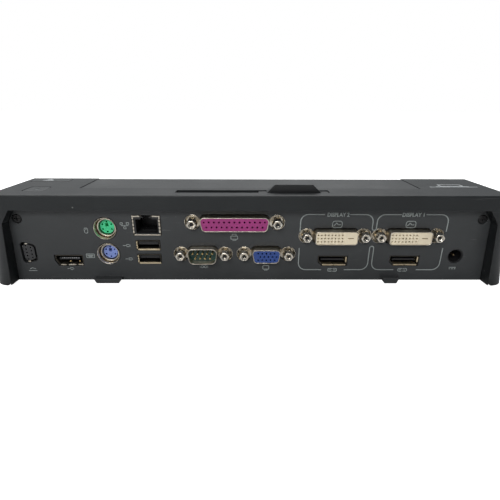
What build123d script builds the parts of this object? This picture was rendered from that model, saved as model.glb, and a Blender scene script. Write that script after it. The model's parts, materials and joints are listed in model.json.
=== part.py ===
from build123d import *
import math
import os

# Laptop docking station, millimetres.
# X runs along the port side, +X to the right when facing the ports. -Y is the port side, +Y the user's side,
# +Z up. The origin is on the table under the middle of the outline.

# ---- driving dimensions -----------------------------------------------------------------------------------
TOP_Z = 52.0            # top of the raised rear bar
TOP_HALF = 139.3        # half width of the bar's top face
BASE_HALF = 147.0       # half width at the table
BAR_FRONT = -32.5       # front face of the raised bar
BAR_REAR_TOP = -80.5    # rear ridge of the top face
BAR_REAR_BASE = -82.5   # rearmost line of the two end legs
DECK_FRONT = 82.5       # front edge of the deck
SKIRT_Z = 0.4           # lower edge of the casing walls
WALL = 2.3              # casing wall thickness
CORNER_R = 10.0         # rear vertical corners
TOP_EDGE_R = 0.8        # softened rim of the top face
FOOT_FLARE_R = 2.2      # flare of the recess where the end legs meet the table

PANEL_Y = -75.0         # outer face of the port panel
PANEL_T = 2.0           # its thickness
PANEL_LOW = 0.5         # its lower edge
FLANGE_Y = -72.8        # outer face of the connector flanges behind the panel
BOARD_TOP = 8.2         # top of the main board
BOARD_T = 1.6
PROUD_Y = -80.0         # front of the shells that stand out of the panel
RECESS_TOP = 43.9       # upper edge of the panel recess
RECESS_HALF = 134.0     # half width of the panel recess
RECESS_LEAN = 1.8       # how much wider it is at the table
CUT_MARGIN = 0.7        # gap between a port shell and its cut-out in the panel

DECK_REAR_Z = 27.0      # deck height where it meets the bar
DECK_SLOPE = 5.7        # degrees, falling towards the user
NOSE_Y = 70.0           # where the deck top starts to roll over

SCREW_4_40 = 1.42       # radius of the jackscrews' threaded hole
STUD_R = 1.7            # stud that holds a jackscrew in its flange
NUT_HALF = 2.75         # half width across the flats of a jackscrew
D25_SPAN, D9_SPAN, DVI_SPAN = 23.52, 12.495, 16.1
PARALLEL = (-8.82, 35.64)
SERIAL = (-27.07, 16.91)
VGA = (8.88, 16.91)
DVI = [(47.48, 27.91), (88.48, 27.91)]
DISPLAY = [(47.4, 12.5), (88.8, 12.6)]
DIN_PORTS = {"mouse": (-81.0, 32.0), "keyboard": (-81.0, 16.9)}
NETWORK = (-57.7, 33.8)
USB_REAR = [(-57.9, 22.1), (-57.9, 13.75)]
COMBO = (-104.2, 12.7)
STAND = (-126.2, 17.5)
POWER_JACK = (117.9, 15.5)
PANEL_SCREWS = [(-128.7, 37.6), (128.7, 37.6)]
USB_W, USB_H = 13.2, 5.7
INSET_Y = -74.5         # front of the display and combined sockets, behind the panel's face
DIN_CORE_R = 3.95       # coloured disc of a round port, which a plug's shell slides over
DIN_CORE_Y = (-71.6, -66.8)
DIN_RING_R = (4.7, 5.96)  # bore and outside of the collar round the disc
DIN_CUP_R = (5.95, 6.3)   # bore and outside of the outer cup
POWER_PIN_R = 0.6
CLIPS = [(-90.1, -74.6, 2.8), (76.3, 86.0, 3.6)]   # ends and upper edge of the panel's snap clips

BAR_HALF = 96.7         # half width of the sliding battery bar
BAR_BACK = -61.7        # rear edge of its visible top
BAR_TOP_Z = 51.8        # its top, just under the fixed strips beside it
BAR_TRAVEL = 10.0
SWITCH_TRAVEL = 45.0
CAM_PIN = (8.5, -70.5)  # the bar's cam pin at rest
SLOT = (-41.0, 43.0, -73.5, -67.0)

POWER_BUTTON = (-120.0, -64.8)
EJECT = (-124.0, -39.5)
DOCK_Y = -16.0          # centre line of the dock connector, posts, hooks and lift pins
POST_X = 47.0
HOOK_X = 58.0
LIFT_X = 70.0

SIDE_USB = [(-64.0, 14.2), (-64.0, 23.6), (-46.5, 14.2)]   # Y, Z of the sockets in the +X end
AUDIO = [(-50.5, 24.6), (-41.5, 24.6)]                       # Y, Z of the audio jacks
LOCK_SLOT = (-60.0, 14.0)                                    # Y, Z in the -X end

FEET = [(-106, -60), (106, -60), (-104, 62), (104, 62)]
HOUSING_SCREWS = [(-124.5, -52), (124.5, -52), (-118, 8), (118, 8), (-106, 46), (106, 46)]
BOSS_R = 3.6
SCREW_R = 1.4


# ---- shape helpers ----------------------------------------------------------------------------------------
def block(x0, x1, y0, y1, z0, z1):
    size = Box(x1 - x0, y1 - y0, z1 - z0)
    return Pos((x0 + x1) / 2, (y0 + y1) / 2, (z0 + z1) / 2) * size


def post(x, y, z0, z1, radius):
    return Pos(x, y, (z0 + z1) / 2) * Cylinder(radius, z1 - z0)


def rod_y(x, z, y0, y1, radius):
    return Pos(x, (y0 + y1) / 2, z) * Rot(90, 0, 0) * Cylinder(radius, y1 - y0)


def rod_x(y, z, x0, x1, radius):
    return Pos((x0 + x1) / 2, y, z) * Rot(0, 90, 0) * Cylinder(radius, x1 - x0)


def along_y(sketch, y0, y1):
    """Carries an X-Z outline from y0 to y1."""
    plane = Plane((0, y1, 0), x_dir=(1, 0, 0), z_dir=(0, -1, 0))
    return extrude(plane * sketch, amount=y1 - y0)


def along_x(sketch, x0, x1):
    """Carries a Y-Z outline from x0 to x1."""
    plane = Plane((x0, 0, 0), x_dir=(0, 1, 0), z_dir=(1, 0, 0))
    return extrude(plane * sketch, amount=x1 - x0)


def outline(points, radius=0.0):
    sketch = make_face(Polyline(*points, close=True))
    if radius:
        sketch = fillet(sketch.vertices(), radius)
    return sketch


def d_shape(centre, width, height, radius, slant=10.0):
    """The D-sub outline: wide side up, ends leaning in by the slant angle."""
    x, z = centre
    lean = height * math.tan(math.radians(slant))
    top, low = width / 2, width / 2 - lean
    up, down = z + height / 2, z - height / 2
    return outline([(x - top, up), (x + top, up), (x + low, down), (x - low, down)], radius)


def rectangle(centre, width, height, radius=0.0):
    x, z = centre
    w, h = width / 2, height / 2
    return outline([(x - w, z - h), (x + w, z - h), (x + w, z + h), (x - w, z + h)], radius)


def round_hole(centre, radius):
    return Pos(*centre) * Circle(radius)


def joined(shapes):
    total = shapes[0]
    for shape in shapes[1:]:
        total = total + shape
    return total


def deck_z(y):
    """Height of the deck's top face at a distance y."""
    return DECK_REAR_Z - (y - BAR_FRONT) * math.tan(math.radians(DECK_SLOPE))


def base_wall_x(z, inset=0.0):
    """Half width of the drafted casing at height z."""
    return BASE_HALF - (BASE_HALF - TOP_HALF) * z / TOP_Z - inset


# ---- casing -----------------------------------------------------------------------------------------------
def recess_outline(grow, feet):
    """The opening for the port panel: chamfered upper corners and, with feet, flared lower ends."""
    half, top = RECESS_HALF + grow, RECESS_TOP + grow
    right = [(half - 5.5, top), (half - 0.5, top - 7.5)]
    left = [(-x, z) for x, z in reversed(right)]
    low = half + RECESS_LEAN
    face = outline(left + right + [(low, SKIRT_Z), (low, -1), (-low, -1), (-low, SKIRT_Z)])
    if feet:
        flare = FOOT_FLARE_R
        for side in (-1, 1):
            corner = rectangle((side * (low + flare / 2), SKIRT_Z + flare / 2 - 1), flare, flare + 2)
            face = face + (corner - round_hole((side * (low + flare), SKIRT_Z + flare), flare))
    return face


def bar_envelope():
    """Outer form of the raised bar: drafted ends and rear, round rear corners, soft top edges."""
    foot = base_wall_x(SKIRT_Z)
    ends = outline([(-foot, SKIRT_Z), (foot, SKIRT_Z), (TOP_HALF, TOP_Z), (-TOP_HALF, TOP_Z)])
    side = outline([
        (BAR_REAR_BASE, SKIRT_Z), (BAR_FRONT, SKIRT_Z), (BAR_FRONT, TOP_Z), (BAR_REAR_TOP, TOP_Z)
    ])
    body = along_y(ends, BAR_REAR_BASE - 2, BAR_FRONT) & along_x(side, -160, 160)
    upright = [e for e in body.edges() if e.length > 45 and e.length < 60 and e.center().Y < -78]
    body = fillet(upright, CORNER_R)
    rim = [e for e in body.edges() if e.center().Z > TOP_Z - 0.01 and e.center().Y < BAR_FRONT - 1]
    return fillet(rim, TOP_EDGE_R)


def bar_cavity():
    low, high = SKIRT_Z - 2, TOP_Z - WALL + 0.1
    ends = outline([
        (-base_wall_x(low, WALL), low), (base_wall_x(low, WALL), low),
        (base_wall_x(high, WALL), high), (-base_wall_x(high, WALL), high)
    ])
    return along_y(ends, -78.1, BAR_FRONT - WALL) & block(-160, 160, -79, 0, -4, high)


def make_rear_housing():
    outer = bar_envelope()
    shell = outer - bar_cavity()
    frame = along_y(recess_outline(2.2, False), -84, PANEL_Y + PANEL_T)
    legs = block(-160, 160, -84, -75.5, SKIRT_Z, 8) - block(-130, 130, -90, -70, 0, 9)
    shell = shell + ((frame + legs) & outer)
    pillar = block(127, 137.4, PANEL_Y + PANEL_T, -66, 34.6, TOP_Z - 2)
    shell = shell + pillar + pillar.mirror(Plane.YZ)
    for x, y in HOUSING_SCREWS[:2]:
        shell = shell + (post(x, y, 4.1, TOP_Z - 2, BOSS_R) & outer)
    shell = shell - along_y(recess_outline(0, True), -90, PANEL_Y + PANEL_T)
    for x, z in PANEL_SCREWS:
        shell = shell - rod_y(x, z, -74, -67.5, SCREW_R + 0.1)
    for x, y in HOUSING_SCREWS[:2]:
        shell = shell - post(x, y, 3, 18, SCREW_R + 0.1)
    # the bar's front is open below the deck line and where the battery bar sits
    shell = shell - block(-140.8, 140.8, BAR_FRONT - WALL - 1, BAR_FRONT + 1, -1, 24.5)
    shell = shell - block(-143.4, 143.4, BAR_FRONT - WALL - 1, BAR_FRONT + 1, -1, 4.5)
    shell = shell - block(-BAR_HALF - 0.5, BAR_HALF + 0.5, BAR_BACK - 0.3, BAR_FRONT + 1, 24, TOP_Z + 1)
    x, y = EJECT
    shelf = block(x + 4.4, x + 12.6, y - 3.6, BAR_FRONT - WALL + 0.2, 28, 30)
    shell = shell + shelf + post(x + 8.5, y, 29.9, 34, 1.7)
    x0, x1, y0, y1 = SLOT
    shell = shell - block(x0, x1, y0, y1, 40, TOP_Z + 1)
    shell = shell - extrude(Pos(*POWER_BUTTON, 44) * RectangleRounded(12.1, 11.6, 2.0), amount=10)
    shell = shell - extrude(Pos(*EJECT, 44) * RectangleRounded(24.6, 7.6, 1.6), amount=10)
    half_w, half_h = USB_W / 2 + 0.3, USB_H / 2 + 0.3
    for y, z in SIDE_USB:
        shell = shell - block(138, 150, y - half_w, y + half_w, z - half_h, z + half_h)
    for y, z in AUDIO:
        shell = shell - rod_x(y, z, 136, 150, 3.9)
    y, z = LOCK_SLOT
    shell = shell - along_x(rectangle((y, z), 7.0, 3.0, 1.2), -150, -136)
    return shell


def deck_plan(inset):
    """Plan of the deck at the table: ends that taper in towards the user, round front corners."""
    back = BAR_FRONT - 20
    rear, waist, front = BASE_HALF - inset, BASE_HALF - 0.6 - inset, BASE_HALF - 19 - inset
    near = DECK_FRONT - inset
    face = outline([(-rear, back), (rear, back), (waist, 4), (front, near), (-front, near), (-waist, 4)])
    corners = [v for v in face.vertices() if v.Y > 50]
    face = fillet(corners, 24 - inset)
    return fillet([v for v in face.vertices() if 3 < v.Y < 5], 70)


def deck_body(inset, drop, low):
    """Drafted deck block under the sloping top, rolled over at the user's edge."""
    draft = math.degrees(math.atan((BASE_HALF - TOP_HALF) / TOP_Z))
    block_up = extrude(Pos(0, 0, low) * deck_plan(inset), amount=32 - low, taper=draft)
    nose_z = deck_z(NOSE_Y) - drop
    start = BAR_FRONT + (0.05 if inset == 0 else -1)
    section = outline([
        (start, low - 1), (DECK_FRONT + 2, low - 1), (DECK_FRONT + 2, 9.5 - drop),
        (NOSE_Y + 4, nose_z - 0.6), (start, deck_z(BAR_FRONT) - drop)
    ])
    return block_up & along_x(section, -160, 160)


def tilted(y, width, depth, height, radius):
    """A rounded slab lying in the deck's slope, sunk by its height, centred on y."""
    slab = extrude(RectangleRounded(width, depth, radius), amount=height)
    return Pos(0, y, deck_z(y)) * Rot(-DECK_SLOPE, 0, 0) * Pos(0, 0, -height) * slab


def make_dock_deck():
    outer = deck_body(0, 0, SKIRT_Z)
    top_rim = [e for e in outer.edges() if e.center().Z > 6 and e.center().Y > BAR_FRONT + 5]
    outer = fillet(top_rim, 1.6)
    shell = outer - deck_body(WALL, WALL, SKIRT_Z - 2)
    for x, y in HOUSING_SCREWS[2:]:
        shell = shell + (post(x, y, 4.1, 26, BOSS_R) & outer)
        shell = shell - post(x, y, 3, 11, SCREW_R + 0.1)
    shell = shell - block(-39.3, 39.3, DOCK_Y - 6.4, DOCK_Y + 6.4, 10, 32)
    for side in (-1, 1):
        shell = shell - post(side * POST_X, DOCK_Y, 10, 32, 4.9)
        shell = shell - post(side * LIFT_X, DOCK_Y, 10, 32, 3.3)
        hook = side * HOOK_X
        shell = shell - block(hook - 5.6, hook + 6.6, DOCK_Y - 4.6, DOCK_Y + 4.6, 10, 32)
    for side in (-1, 1):
        shell = shell - Pos(side * 66, 0, 0) * tilted(52, 80.4, 9.4, 1.0, 4.6)
    return shell


def make_bottom_cover():
    inset = WALL + 1.0
    draft = math.degrees(math.atan((BASE_HALF - TOP_HALF) / TOP_Z))
    front = deck_plan(inset) & (Pos(0, 50) * Rectangle(400, 175))
    back = PANEL_Y + PANEL_T
    rear = Pos(0, (back - 30) / 2 + 0.1) * Rectangle(2 * (BASE_HALF - inset), -30 - back)
    plate = extrude(Pos(0, 0, 2) * (front + rear), amount=2, taper=draft)
    for x, y in HOUSING_SCREWS:
        plate = plate - post(x, y, 1, 5, SCREW_R + 0.15)
    for x, y in [(-112, -66), (112, -66), (-62, -52), (62, -52), (-90, -14), (90, -14)]:
        plate = plate + post(x, y, 3.5, BOARD_TOP - BOARD_T, 3.0)
    return plate


def clip(x0, x1, top):
    """A snap clip at the panel's lower edge: a tab standing out of the panel with bevelled ends."""
    front = outline([(x0, top), (x0 + 1.4, 0.2), (x1 - 1.4, 0.2), (x1, top)])
    return along_y(front, -79.2, PANEL_Y + 0.5)


def panel_cutouts():
    cuts = [d_shape(PARALLEL, 38.4 + 2 * CUT_MARGIN, 8.0 + 2 * CUT_MARGIN, 3.2)]
    cuts += [d_shape(c, 17.2 + 2 * CUT_MARGIN, 8.6 + 2 * CUT_MARGIN, 3.2) for c in (SERIAL, VGA)]
    cuts += [rectangle(c, 23.4 + 2 * CUT_MARGIN, 7.8 + 2 * CUT_MARGIN, 2.0) for c in DVI]
    for (x, z), span in jackscrew_rows():
        cuts += [round_hole((x + side * span, z), 4.45) for side in (-1, 1)]
    cuts += [display_outline(c, 0.25) for c in DISPLAY]
    cuts += [round_hole(c, 6.6) for c in DIN_PORTS.values()]
    cuts.append(rectangle(NETWORK, 15.9, 11.9, 0.4))
    cuts += [rectangle(c, USB_W + 0.5, USB_H + 0.5, 0.4) for c in USB_REAR]
    cuts.append(combo_outline(0.3))
    cuts.append(stand_outline(0.9))
    cuts.append(round_hole(POWER_JACK, 4.35))
    return cuts


def jackscrew_rows():
    rows = [(PARALLEL, D25_SPAN), (SERIAL, D9_SPAN), (VGA, D9_SPAN)]
    return rows + [(c, DVI_SPAN) for c in DVI]


def make_port_panel():
    gap = -0.15
    half, top = RECESS_HALF + gap, RECESS_TOP + gap
    right = [(half - 5.5, top), (half - 0.5, top - 7.5), (half + RECESS_LEAN - 0.1, PANEL_LOW)]
    left = [(-x, z) for x, z in reversed(right)]
    plate = along_y(outline(left + right), PANEL_Y, PANEL_Y + PANEL_T)
    for cut in panel_cutouts():
        plate = plate - along_y(cut, PANEL_Y - 1, PANEL_Y + PANEL_T + 1)
    for x, z in PANEL_SCREWS:
        plate = plate - rod_y(x, z, PANEL_Y - 1, PANEL_Y + 1.2, 2.8)
        plate = plate - rod_y(x, z, PANEL_Y - 1, PANEL_Y + 3, SCREW_R + 0.1)
    for place in CLIPS:
        plate = plate + clip(*place)
    return plate


def make_rubber_feet():
    feet = [post(x, y, 0, 2, 7) for x, y in FEET]
    return Compound([chamfer(f.edges().group_by(Axis.Z)[0], 0.6) for f in feet])


def make_deck_pads():
    pads = []
    for side in (-1, 1):
        slab = Pos(side * 66, 0, 0) * tilted(52, 80, 9, 1.0, 4.4)
        raised = Pos(side * 66, 0, 0) * Pos(0, 0, 0.8) * tilted(52, 80, 9, 1.0, 4.4)
        pads.append(slab + raised)
    return Compound([s for pad in pads for s in pad.solids()])


def cross_recess(x, z, y0, y1):
    across = block(x - 1.4, x + 1.4, y0, y1, z - 0.3, z + 0.3)
    return across + block(x - 0.3, x + 0.3, y0, y1, z - 1.4, z + 1.4)


def make_panel_screws():
    screws = []
    for x, z in PANEL_SCREWS:
        head = chamfer(rod_y(x, z, PANEL_Y + 0.1, PANEL_Y + 1.2, 2.45).edges().sort_by(Axis.Y)[0], 0.4)
        screw = head + rod_y(x, z, PANEL_Y + 1.1, -68, SCREW_R)
        screws.append(screw - cross_recess(x, z, PANEL_Y - 0.5, PANEL_Y + 0.9))
    return Compound(screws)


def make_housing_screws():
    screws = []
    for x, y in HOUSING_SCREWS:
        head = post(x, y, 0.7, 2.0, 2.8)
        cross = block(x - 1.5, x + 1.5, y - 0.3, y + 0.3, 0, 1.5)
        cross = cross + block(x - 0.3, x + 0.3, y - 1.5, y + 1.5, 0, 1.5)
        screws.append(head + post(x, y, 1.9, 10.5, SCREW_R) - cross)
    return Compound(screws)


# ---- D-sub and DVI ports ----------------------------------------------------------------------------------
def flange(centre, half, span, height):
    x, z = centre
    plate = block(x - half, x + half, FLANGE_Y, FLANGE_Y + 0.8, z - height / 2, z + height / 2)
    for side in (-1, 1):
        plate = plate - rod_y(x + side * span, z, FLANGE_Y - 1, FLANGE_Y + 2, STUD_R + 0.05)
    return plate


def d_shell(outer, inner, plate):
    """The flange with the formed tube standing out of it."""
    return (plate + along_y(outer, PROUD_Y, FLANGE_Y + 0.4)) - along_y(inner, PROUD_Y - 10, -60)


def socket_rows(centre, rows, radius, y0, y1):
    """Holes in rows; each row is (count, pitch, height above the centre, sideways shift)."""
    x, z = centre
    holes = []
    for count, pitch, up, shift in rows:
        for i in range(count):
            offset = (i - (count - 1) / 2) * pitch + shift
            holes.append(rod_y(x + offset, z + up, y0, y1, radius))
    return holes


D25_ROWS = [(13, 2.77, 1.42, 0), (12, 2.77, -1.42, 0)]
D9_ROWS = [(5, 2.77, 1.42, 0), (4, 2.77, -1.42, 0)]
VGA_ROWS = [(5, 2.29, 1.98, 0), (5, 2.29, 0, 1.145), (5, 2.29, -1.98, 0)]
DVI_ROWS = [(8, 1.905, 1.905, -3.6), (8, 1.905, 0, -3.6), (8, 1.905, -1.905, -3.6)]


def socket_port(centre, width, height, span, flange_half, rows, hole_r):
    """A D port with sockets: the metal shell, and the insert that fills it and stands behind the flange."""
    wall = 0.45
    outer = d_shape(centre, width, height, 2.2)
    inner = d_shape(centre, width - 2 * wall, height - 2 * wall, 1.8)
    shell = d_shell(outer, inner, flange(centre, flange_half, span, 12.2))
    fill = d_shape(centre, width - 2 * wall - 0.06, height - 2 * wall - 0.06, 1.77)
    insert = along_y(fill, PROUD_Y + 0.25, FLANGE_Y + 1)
    for hole in socket_rows(centre, rows, hole_r, PROUD_Y - 1, PROUD_Y + 3.2):
        insert = insert - hole
    return shell, insert


def carrier(centre, half, z0, z1, back, legs=False):
    """Moulded body behind a flange; an upper port also has a rear wall down to the main board."""
    body = block(centre[0] - half, centre[0] + half, FLANGE_Y + 0.8, back, z0, z1)
    if legs:
        body = body + block(centre[0] - half, centre[0] + half, back - 5, back, BOARD_TOP, z1)
    return body


def make_parallel():
    shell, insert = socket_port(PARALLEL, 38.4, 8.0, D25_SPAN, 26.8, D25_ROWS, 0.55)
    return shell, insert + carrier(PARALLEL, 19.8, 30.2, 41.4, -52, True)


def make_vga():
    shell, insert = socket_port(VGA, 16.6, 8.0, D9_SPAN, 15.4, VGA_ROWS, 0.5)
    return shell, insert + carrier(VGA, 9.0, BOARD_TOP, 22.6, -60)


def make_serial():
    """A D port with pins: a hollow shell with the insert's floor set back in it."""
    wall = 0.45
    outer = d_shape(SERIAL, 17.8, 9.2, 2.8)
    inner = d_shape(SERIAL, 17.8 - 2 * wall, 9.2 - 2 * wall, 2.4)
    shell = d_shell(outer, inner, flange(SERIAL, 15.4, D9_SPAN, 12.2))
    floor = along_y(d_shape(SERIAL, 16.84, 8.24, 2.37), -75.4, FLANGE_Y + 1)
    insert = floor + carrier(SERIAL, 9.0, BOARD_TOP, 22.6, -60)
    pins = []
    for pin in socket_rows(SERIAL, D9_ROWS, 0.5, -79.3, -74.0):
        pins.append(fillet(pin.edges().sort_by(Axis.Y)[0], 0.4))
    for hole in socket_rows(SERIAL, D9_ROWS, 0.5, -76, -74.0):
        insert = insert - hole
    return shell, insert, Compound(pins)


def make_dvi(centre):
    wall = 0.4
    x, z = centre
    outer = rectangle(centre, 23.4, 7.8, 1.6)
    inner = rectangle(centre, 23.4 - 2 * wall, 7.8 - 2 * wall, 1.2)
    shell = d_shell(outer, inner, flange(centre, 19.4, DVI_SPAN, 11.4))
    insert = along_y(rectangle(centre, 22.54, 6.94, 1.17), PROUD_Y + 0.25, FLANGE_Y + 1)
    for hole in socket_rows(centre, DVI_ROWS, 0.48, PROUD_Y - 1, PROUD_Y + 3):
        insert = insert - hole
    insert = insert - block(x + 6.1, x + 9.3, PROUD_Y - 1, PROUD_Y + 3, z - 0.28, z + 0.28)
    return shell, insert + carrier(centre, 12.6, 22.6, 33.4, -54, True)


def make_jackscrews():
    """Hexagonal standoffs with a round nose and a threaded hole; a stud passes through each flange."""
    screws = []
    for (x, z), span in jackscrew_rows():
        for side in (-1, 1):
            cx = x + side * span
            hexagon = RegularPolygon(NUT_HALF, 6, major_radius=False)
            body = along_y(Pos(cx, z) * hexagon, PROUD_Y + 0.8, FLANGE_Y)
            nose = rod_y(cx, z, PROUD_Y, PROUD_Y + 0.8, NUT_HALF - 0.1)
            screw = body + nose + rod_y(cx, z, FLANGE_Y - 0.1, FLANGE_Y + 0.8, STUD_R)
            countersink = Pos(cx, PROUD_Y + 0.2, z) * Rot(90, 0, 0) * Cone(SCREW_4_40, SCREW_4_40 + 0.4, 0.4)
            screws.append(screw - rod_y(cx, z, PROUD_Y - 0.1, -75.0, SCREW_4_40) - countersink)
    return Compound([s for screw in screws for s in screw.solids()])


# ---- other ports ------------------------------------------------------------------------------------------
def display_outline(centre, grow):
    """Display port: 17 by 6 with one lower corner cut at a slant."""
    x, z = centre
    w, h, cut = 8.4 + grow, 3.0 + grow, 2.6
    slanted = [(x - w + cut, z - h), (x - w, z - h + cut)]
    return outline([(x - w, z + h), (x + w, z + h), (x + w, z - h)] + slanted)


def make_display(centre):
    x, z = centre
    shell = along_y(display_outline(centre, 0), INSET_Y, -60)
    shell = shell - along_y(display_outline(centre, -0.45), PANEL_Y - 1, -63)
    tongue = block(x - 6.6, x + 6.6, PANEL_Y + 1.6, -62.9, z - 0.1, z + 0.9)
    tongue = tongue + block(x - 6.9, x + 6.9, -64.5, -63, z - 1.4, z + 1.6)
    return shell - tongue, tongue


def combo_outline(grow):
    """The combined eSATA and USB socket: wide at the top, its left end leaning in."""
    x, z = COMBO
    w, h = 7.9 + grow, 3.15 + grow
    lean = [(x - w + 1.9, z - h), (x - w, z - h + 3.4)]
    return outline([(x - w, z + h), (x + w, z + h), (x + w, z - h)] + lean)


def make_combo():
    x, z = COMBO
    shell = along_y(combo_outline(0), INSET_Y, -58) - along_y(combo_outline(-0.5), PANEL_Y - 1, -61)
    tongue = block(x - 5.9, x + 5.9, PANEL_Y + 1.2, -60.9, z + 0.2, z + 1.5)
    tongue = tongue + block(x - 6.0, x + 6.0, -63, -61.1, z - 1.2, z + 2)
    return shell - tongue, tongue


def make_din(centre, z0, z1):
    """Round six-pin port: a metal cup with a collar set back in it, and the coloured disc in the middle."""
    x, z = centre
    front, floor = DIN_CORE_Y
    cup_bore, cup_r = DIN_CUP_R
    ring_bore, ring_r = DIN_RING_R
    cup = rod_y(x, z, PANEL_Y - 0.6, floor + 0.8, cup_r) - rod_y(x, z, PANEL_Y - 2, floor, cup_bore)
    ring = rod_y(x, z, front - 0.5, floor + 0.1, ring_r) - rod_y(x, z, PANEL_Y - 1, floor, ring_bore)
    back = block(x - 6.8, x + 6.8, floor + 0.8, -58, z0, z1)
    disc = rod_y(x, z, front, floor, DIN_CORE_R)
    for k in range(6):
        angle = math.radians(-60 + 60 * k)
        hole = (x + 2.9 * math.sin(angle), z - 2.9 * math.cos(angle))
        disc = disc - rod_y(*hole, front - 1, front + 3, 0.5)
    disc = disc - block(x - 0.9, x + 0.9, front - 1, front + 3, z + 0.1, z + 2.1)
    return cup + ring + back, disc


def make_network():
    x, z = NETWORK
    shell = block(x - 7.8, x + 7.8, PANEL_Y - 0.3, -58, z - 5.8, z + 5.8)
    shell = shell - block(x - 7.1, x + 7.1, PANEL_Y - 1, -59, z - 5.1, z + 5.1)
    shell = shell - block(x - 2.4, x + 2.4, PANEL_Y - 1, -66, z + 5, z + 6)
    insert = block(x - 7.05, x + 7.05, PANEL_Y - 0.1, -59.05, z - 5.05, z + 5.05)
    insert = insert - block(x - 6.0, x + 6.0, PANEL_Y - 1, -61, z - 4.4, z + 3.6)
    insert = insert - block(x - 3.1, x + 3.1, PANEL_Y - 1, -61, z + 3.5, z + 4.4)
    insert = insert - block(x - 1.7, x + 1.7, PANEL_Y - 1, -61, z + 4.3, z + 5.2)
    for i in range(8):
        wire = x + (i - 3.5) * 1.02
        insert = insert + block(wire - 0.2, wire + 0.2, -70, -60.9, z - 4.5, z - 4.0)
    return shell, insert


def usb_socket():
    """One USB socket about the origin, mouth towards -Y: the metal shell with folded lips."""
    w, h = USB_W / 2, USB_H / 2
    shell = block(-w, w, 0, 14, -h, h) - block(-w + 0.4, w - 0.4, -1, 13.4, -h + 0.4, h - 0.4)
    lip = block(-w + 0.4, w - 0.4, 0, 0.8, -h, -h + 0.85)
    return shell + lip


def usb_tongue():
    w = USB_W / 2
    tongue = block(-w + 1.0, w - 1.0, 1.2, 13.3, 0.1, 1.9)
    for x in (-3.5, -1.0, 1.0, 3.5):
        tongue = tongue - block(x - 0.6, x + 0.6, 2.0, 11, -0.1, 0.25)
    return tongue + block(-w + 0.45, w - 0.45, 11.6, 13.35, -USB_H / 2 + 0.45, USB_H / 2 - 0.45)


def make_usb_rear():
    shells = [Pos(x, PANEL_Y - 0.2, z) * usb_socket() for x, z in USB_REAR]
    tongues = [Pos(x, PANEL_Y - 0.2, z) * usb_tongue() for x, z in USB_REAR]
    x = USB_REAR[0][0]
    can = block(x - 7.9, x + 7.9, -72.6, -58.5, BOARD_TOP, 27.9)
    for sx, sz in USB_REAR:
        can = can - block(sx - USB_W / 2, sx + USB_W / 2, -90, PANEL_Y + 13.8, sz - USB_H / 2, sz + USB_H / 2)
    return joined([can] + shells), Compound(tongues)


def make_usb_side():
    turn = Rot(0, 0, 90)
    spots = [(base_wall_x(z) - 1.3, y, z) for y, z in SIDE_USB]
    shells = [Pos(*spot) * turn * usb_socket() for spot in spots]
    tongues = [Pos(*spot) * turn * usb_tongue() for spot in spots]
    return Compound(shells), Compound(tongues)


def make_audio():
    jacks = []
    for y, z in AUDIO:
        face = base_wall_x(z) - 0.6
        jack = block(face - 14, face - 3.5, y - 3.9, y + 3.9, z - 4.0, z + 4.0)
        jack = jack + rod_x(y, z, face - 4, face, 3.7)
        jacks.append(jack - rod_x(y, z, face - 12, face + 1, 1.8))
    return Compound(jacks)


def stand_outline(grow):
    """Upright nine-contact socket: five holes' side straight, four holes' side leaning in."""
    x, z = STAND
    w, h = 3.4 + grow, 6.1 + grow
    return outline([(x - w, z - h), (x - w, z + h), (x + w, z + h - 2.2), (x + w, z - h + 2.2)], 2.0)


def make_stand_connector():
    x, z = STAND
    body = along_y(stand_outline(-0.3), PANEL_Y + 0.3, -66)
    body = body + block(x - 3.4, x + 2.9, -72.5, -62, BOARD_TOP, z + 6)
    for column, count in ((-1.35, 5), (1.35, 4)):
        for i in range(count):
            up = (i - (count - 1) / 2) * 2.05
            body = body - rod_y(x + column, z + up, PANEL_Y - 1, PANEL_Y + 3, 0.42)
    contacts = []
    for end in (-1, 1):
        spring = block(x - 1.6, x - 0.1, PANEL_Y + 0.2, PANEL_Y + 4, z + end * 5.4 - 0.3, z + end * 5.4 + 0.3)
        body = body - spring
        contacts.append(spring)
    return body, Compound(contacts)


def make_power_jack():
    x, z = POWER_JACK
    floor = -64
    body = block(x - 5.6, x + 5.6, PANEL_Y + 2.1, floor + 3, BOARD_TOP, z + 5.6)
    body = body + rod_y(x, z, PANEL_Y + 0.6, floor, 4.3)
    body = body - rod_y(x, z, PANEL_Y - 1, floor, 3.75)
    pin = rod_y(x, z, -73.2, floor + 0.1, POWER_PIN_R)
    pin = fillet(pin.edges().sort_by(Axis.Y)[0], 0.4)
    root = rod_y(x, z, floor, floor + 1.5, POWER_PIN_R + 0.3)
    return body - root, pin + root


# ---- top mechanism ----------------------------------------------------------------------------------------
def make_battery_bar():
    """Hollow slab that fills the front of the bar's top, with a tongue and cam pin under the fixed strip."""
    slab = block(-BAR_HALF, BAR_HALF, BAR_BACK, BAR_FRONT, 27.8, BAR_TOP_Z)
    edges = slab.edges().filter_by(Axis.X).group_by(Axis.Z)[-1].sort_by(Axis.Y)
    slab = fillet(edges[-1], TOP_EDGE_R + 0.2)
    slab = slab - block(-BAR_HALF + 2, BAR_HALF - 2, BAR_BACK - 1, BAR_FRONT - 2.2, 20, 49.0)
    slab = slab - block(-BAR_HALF - 1, BAR_HALF + 1, BAR_BACK - 1, -51, 20, 36)
    tongue = block(-93, 93, -72.6, -50, 44.6, 46.4)
    for side in (-1, 1):
        tongue = tongue + block(side * 78 - 16, side * 78 + 16, -61.4, -54, 46.3, 49.2)
    pin = post(*CAM_PIN, 46.3, 48.2, 1.5)
    return slab + tongue + pin


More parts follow.
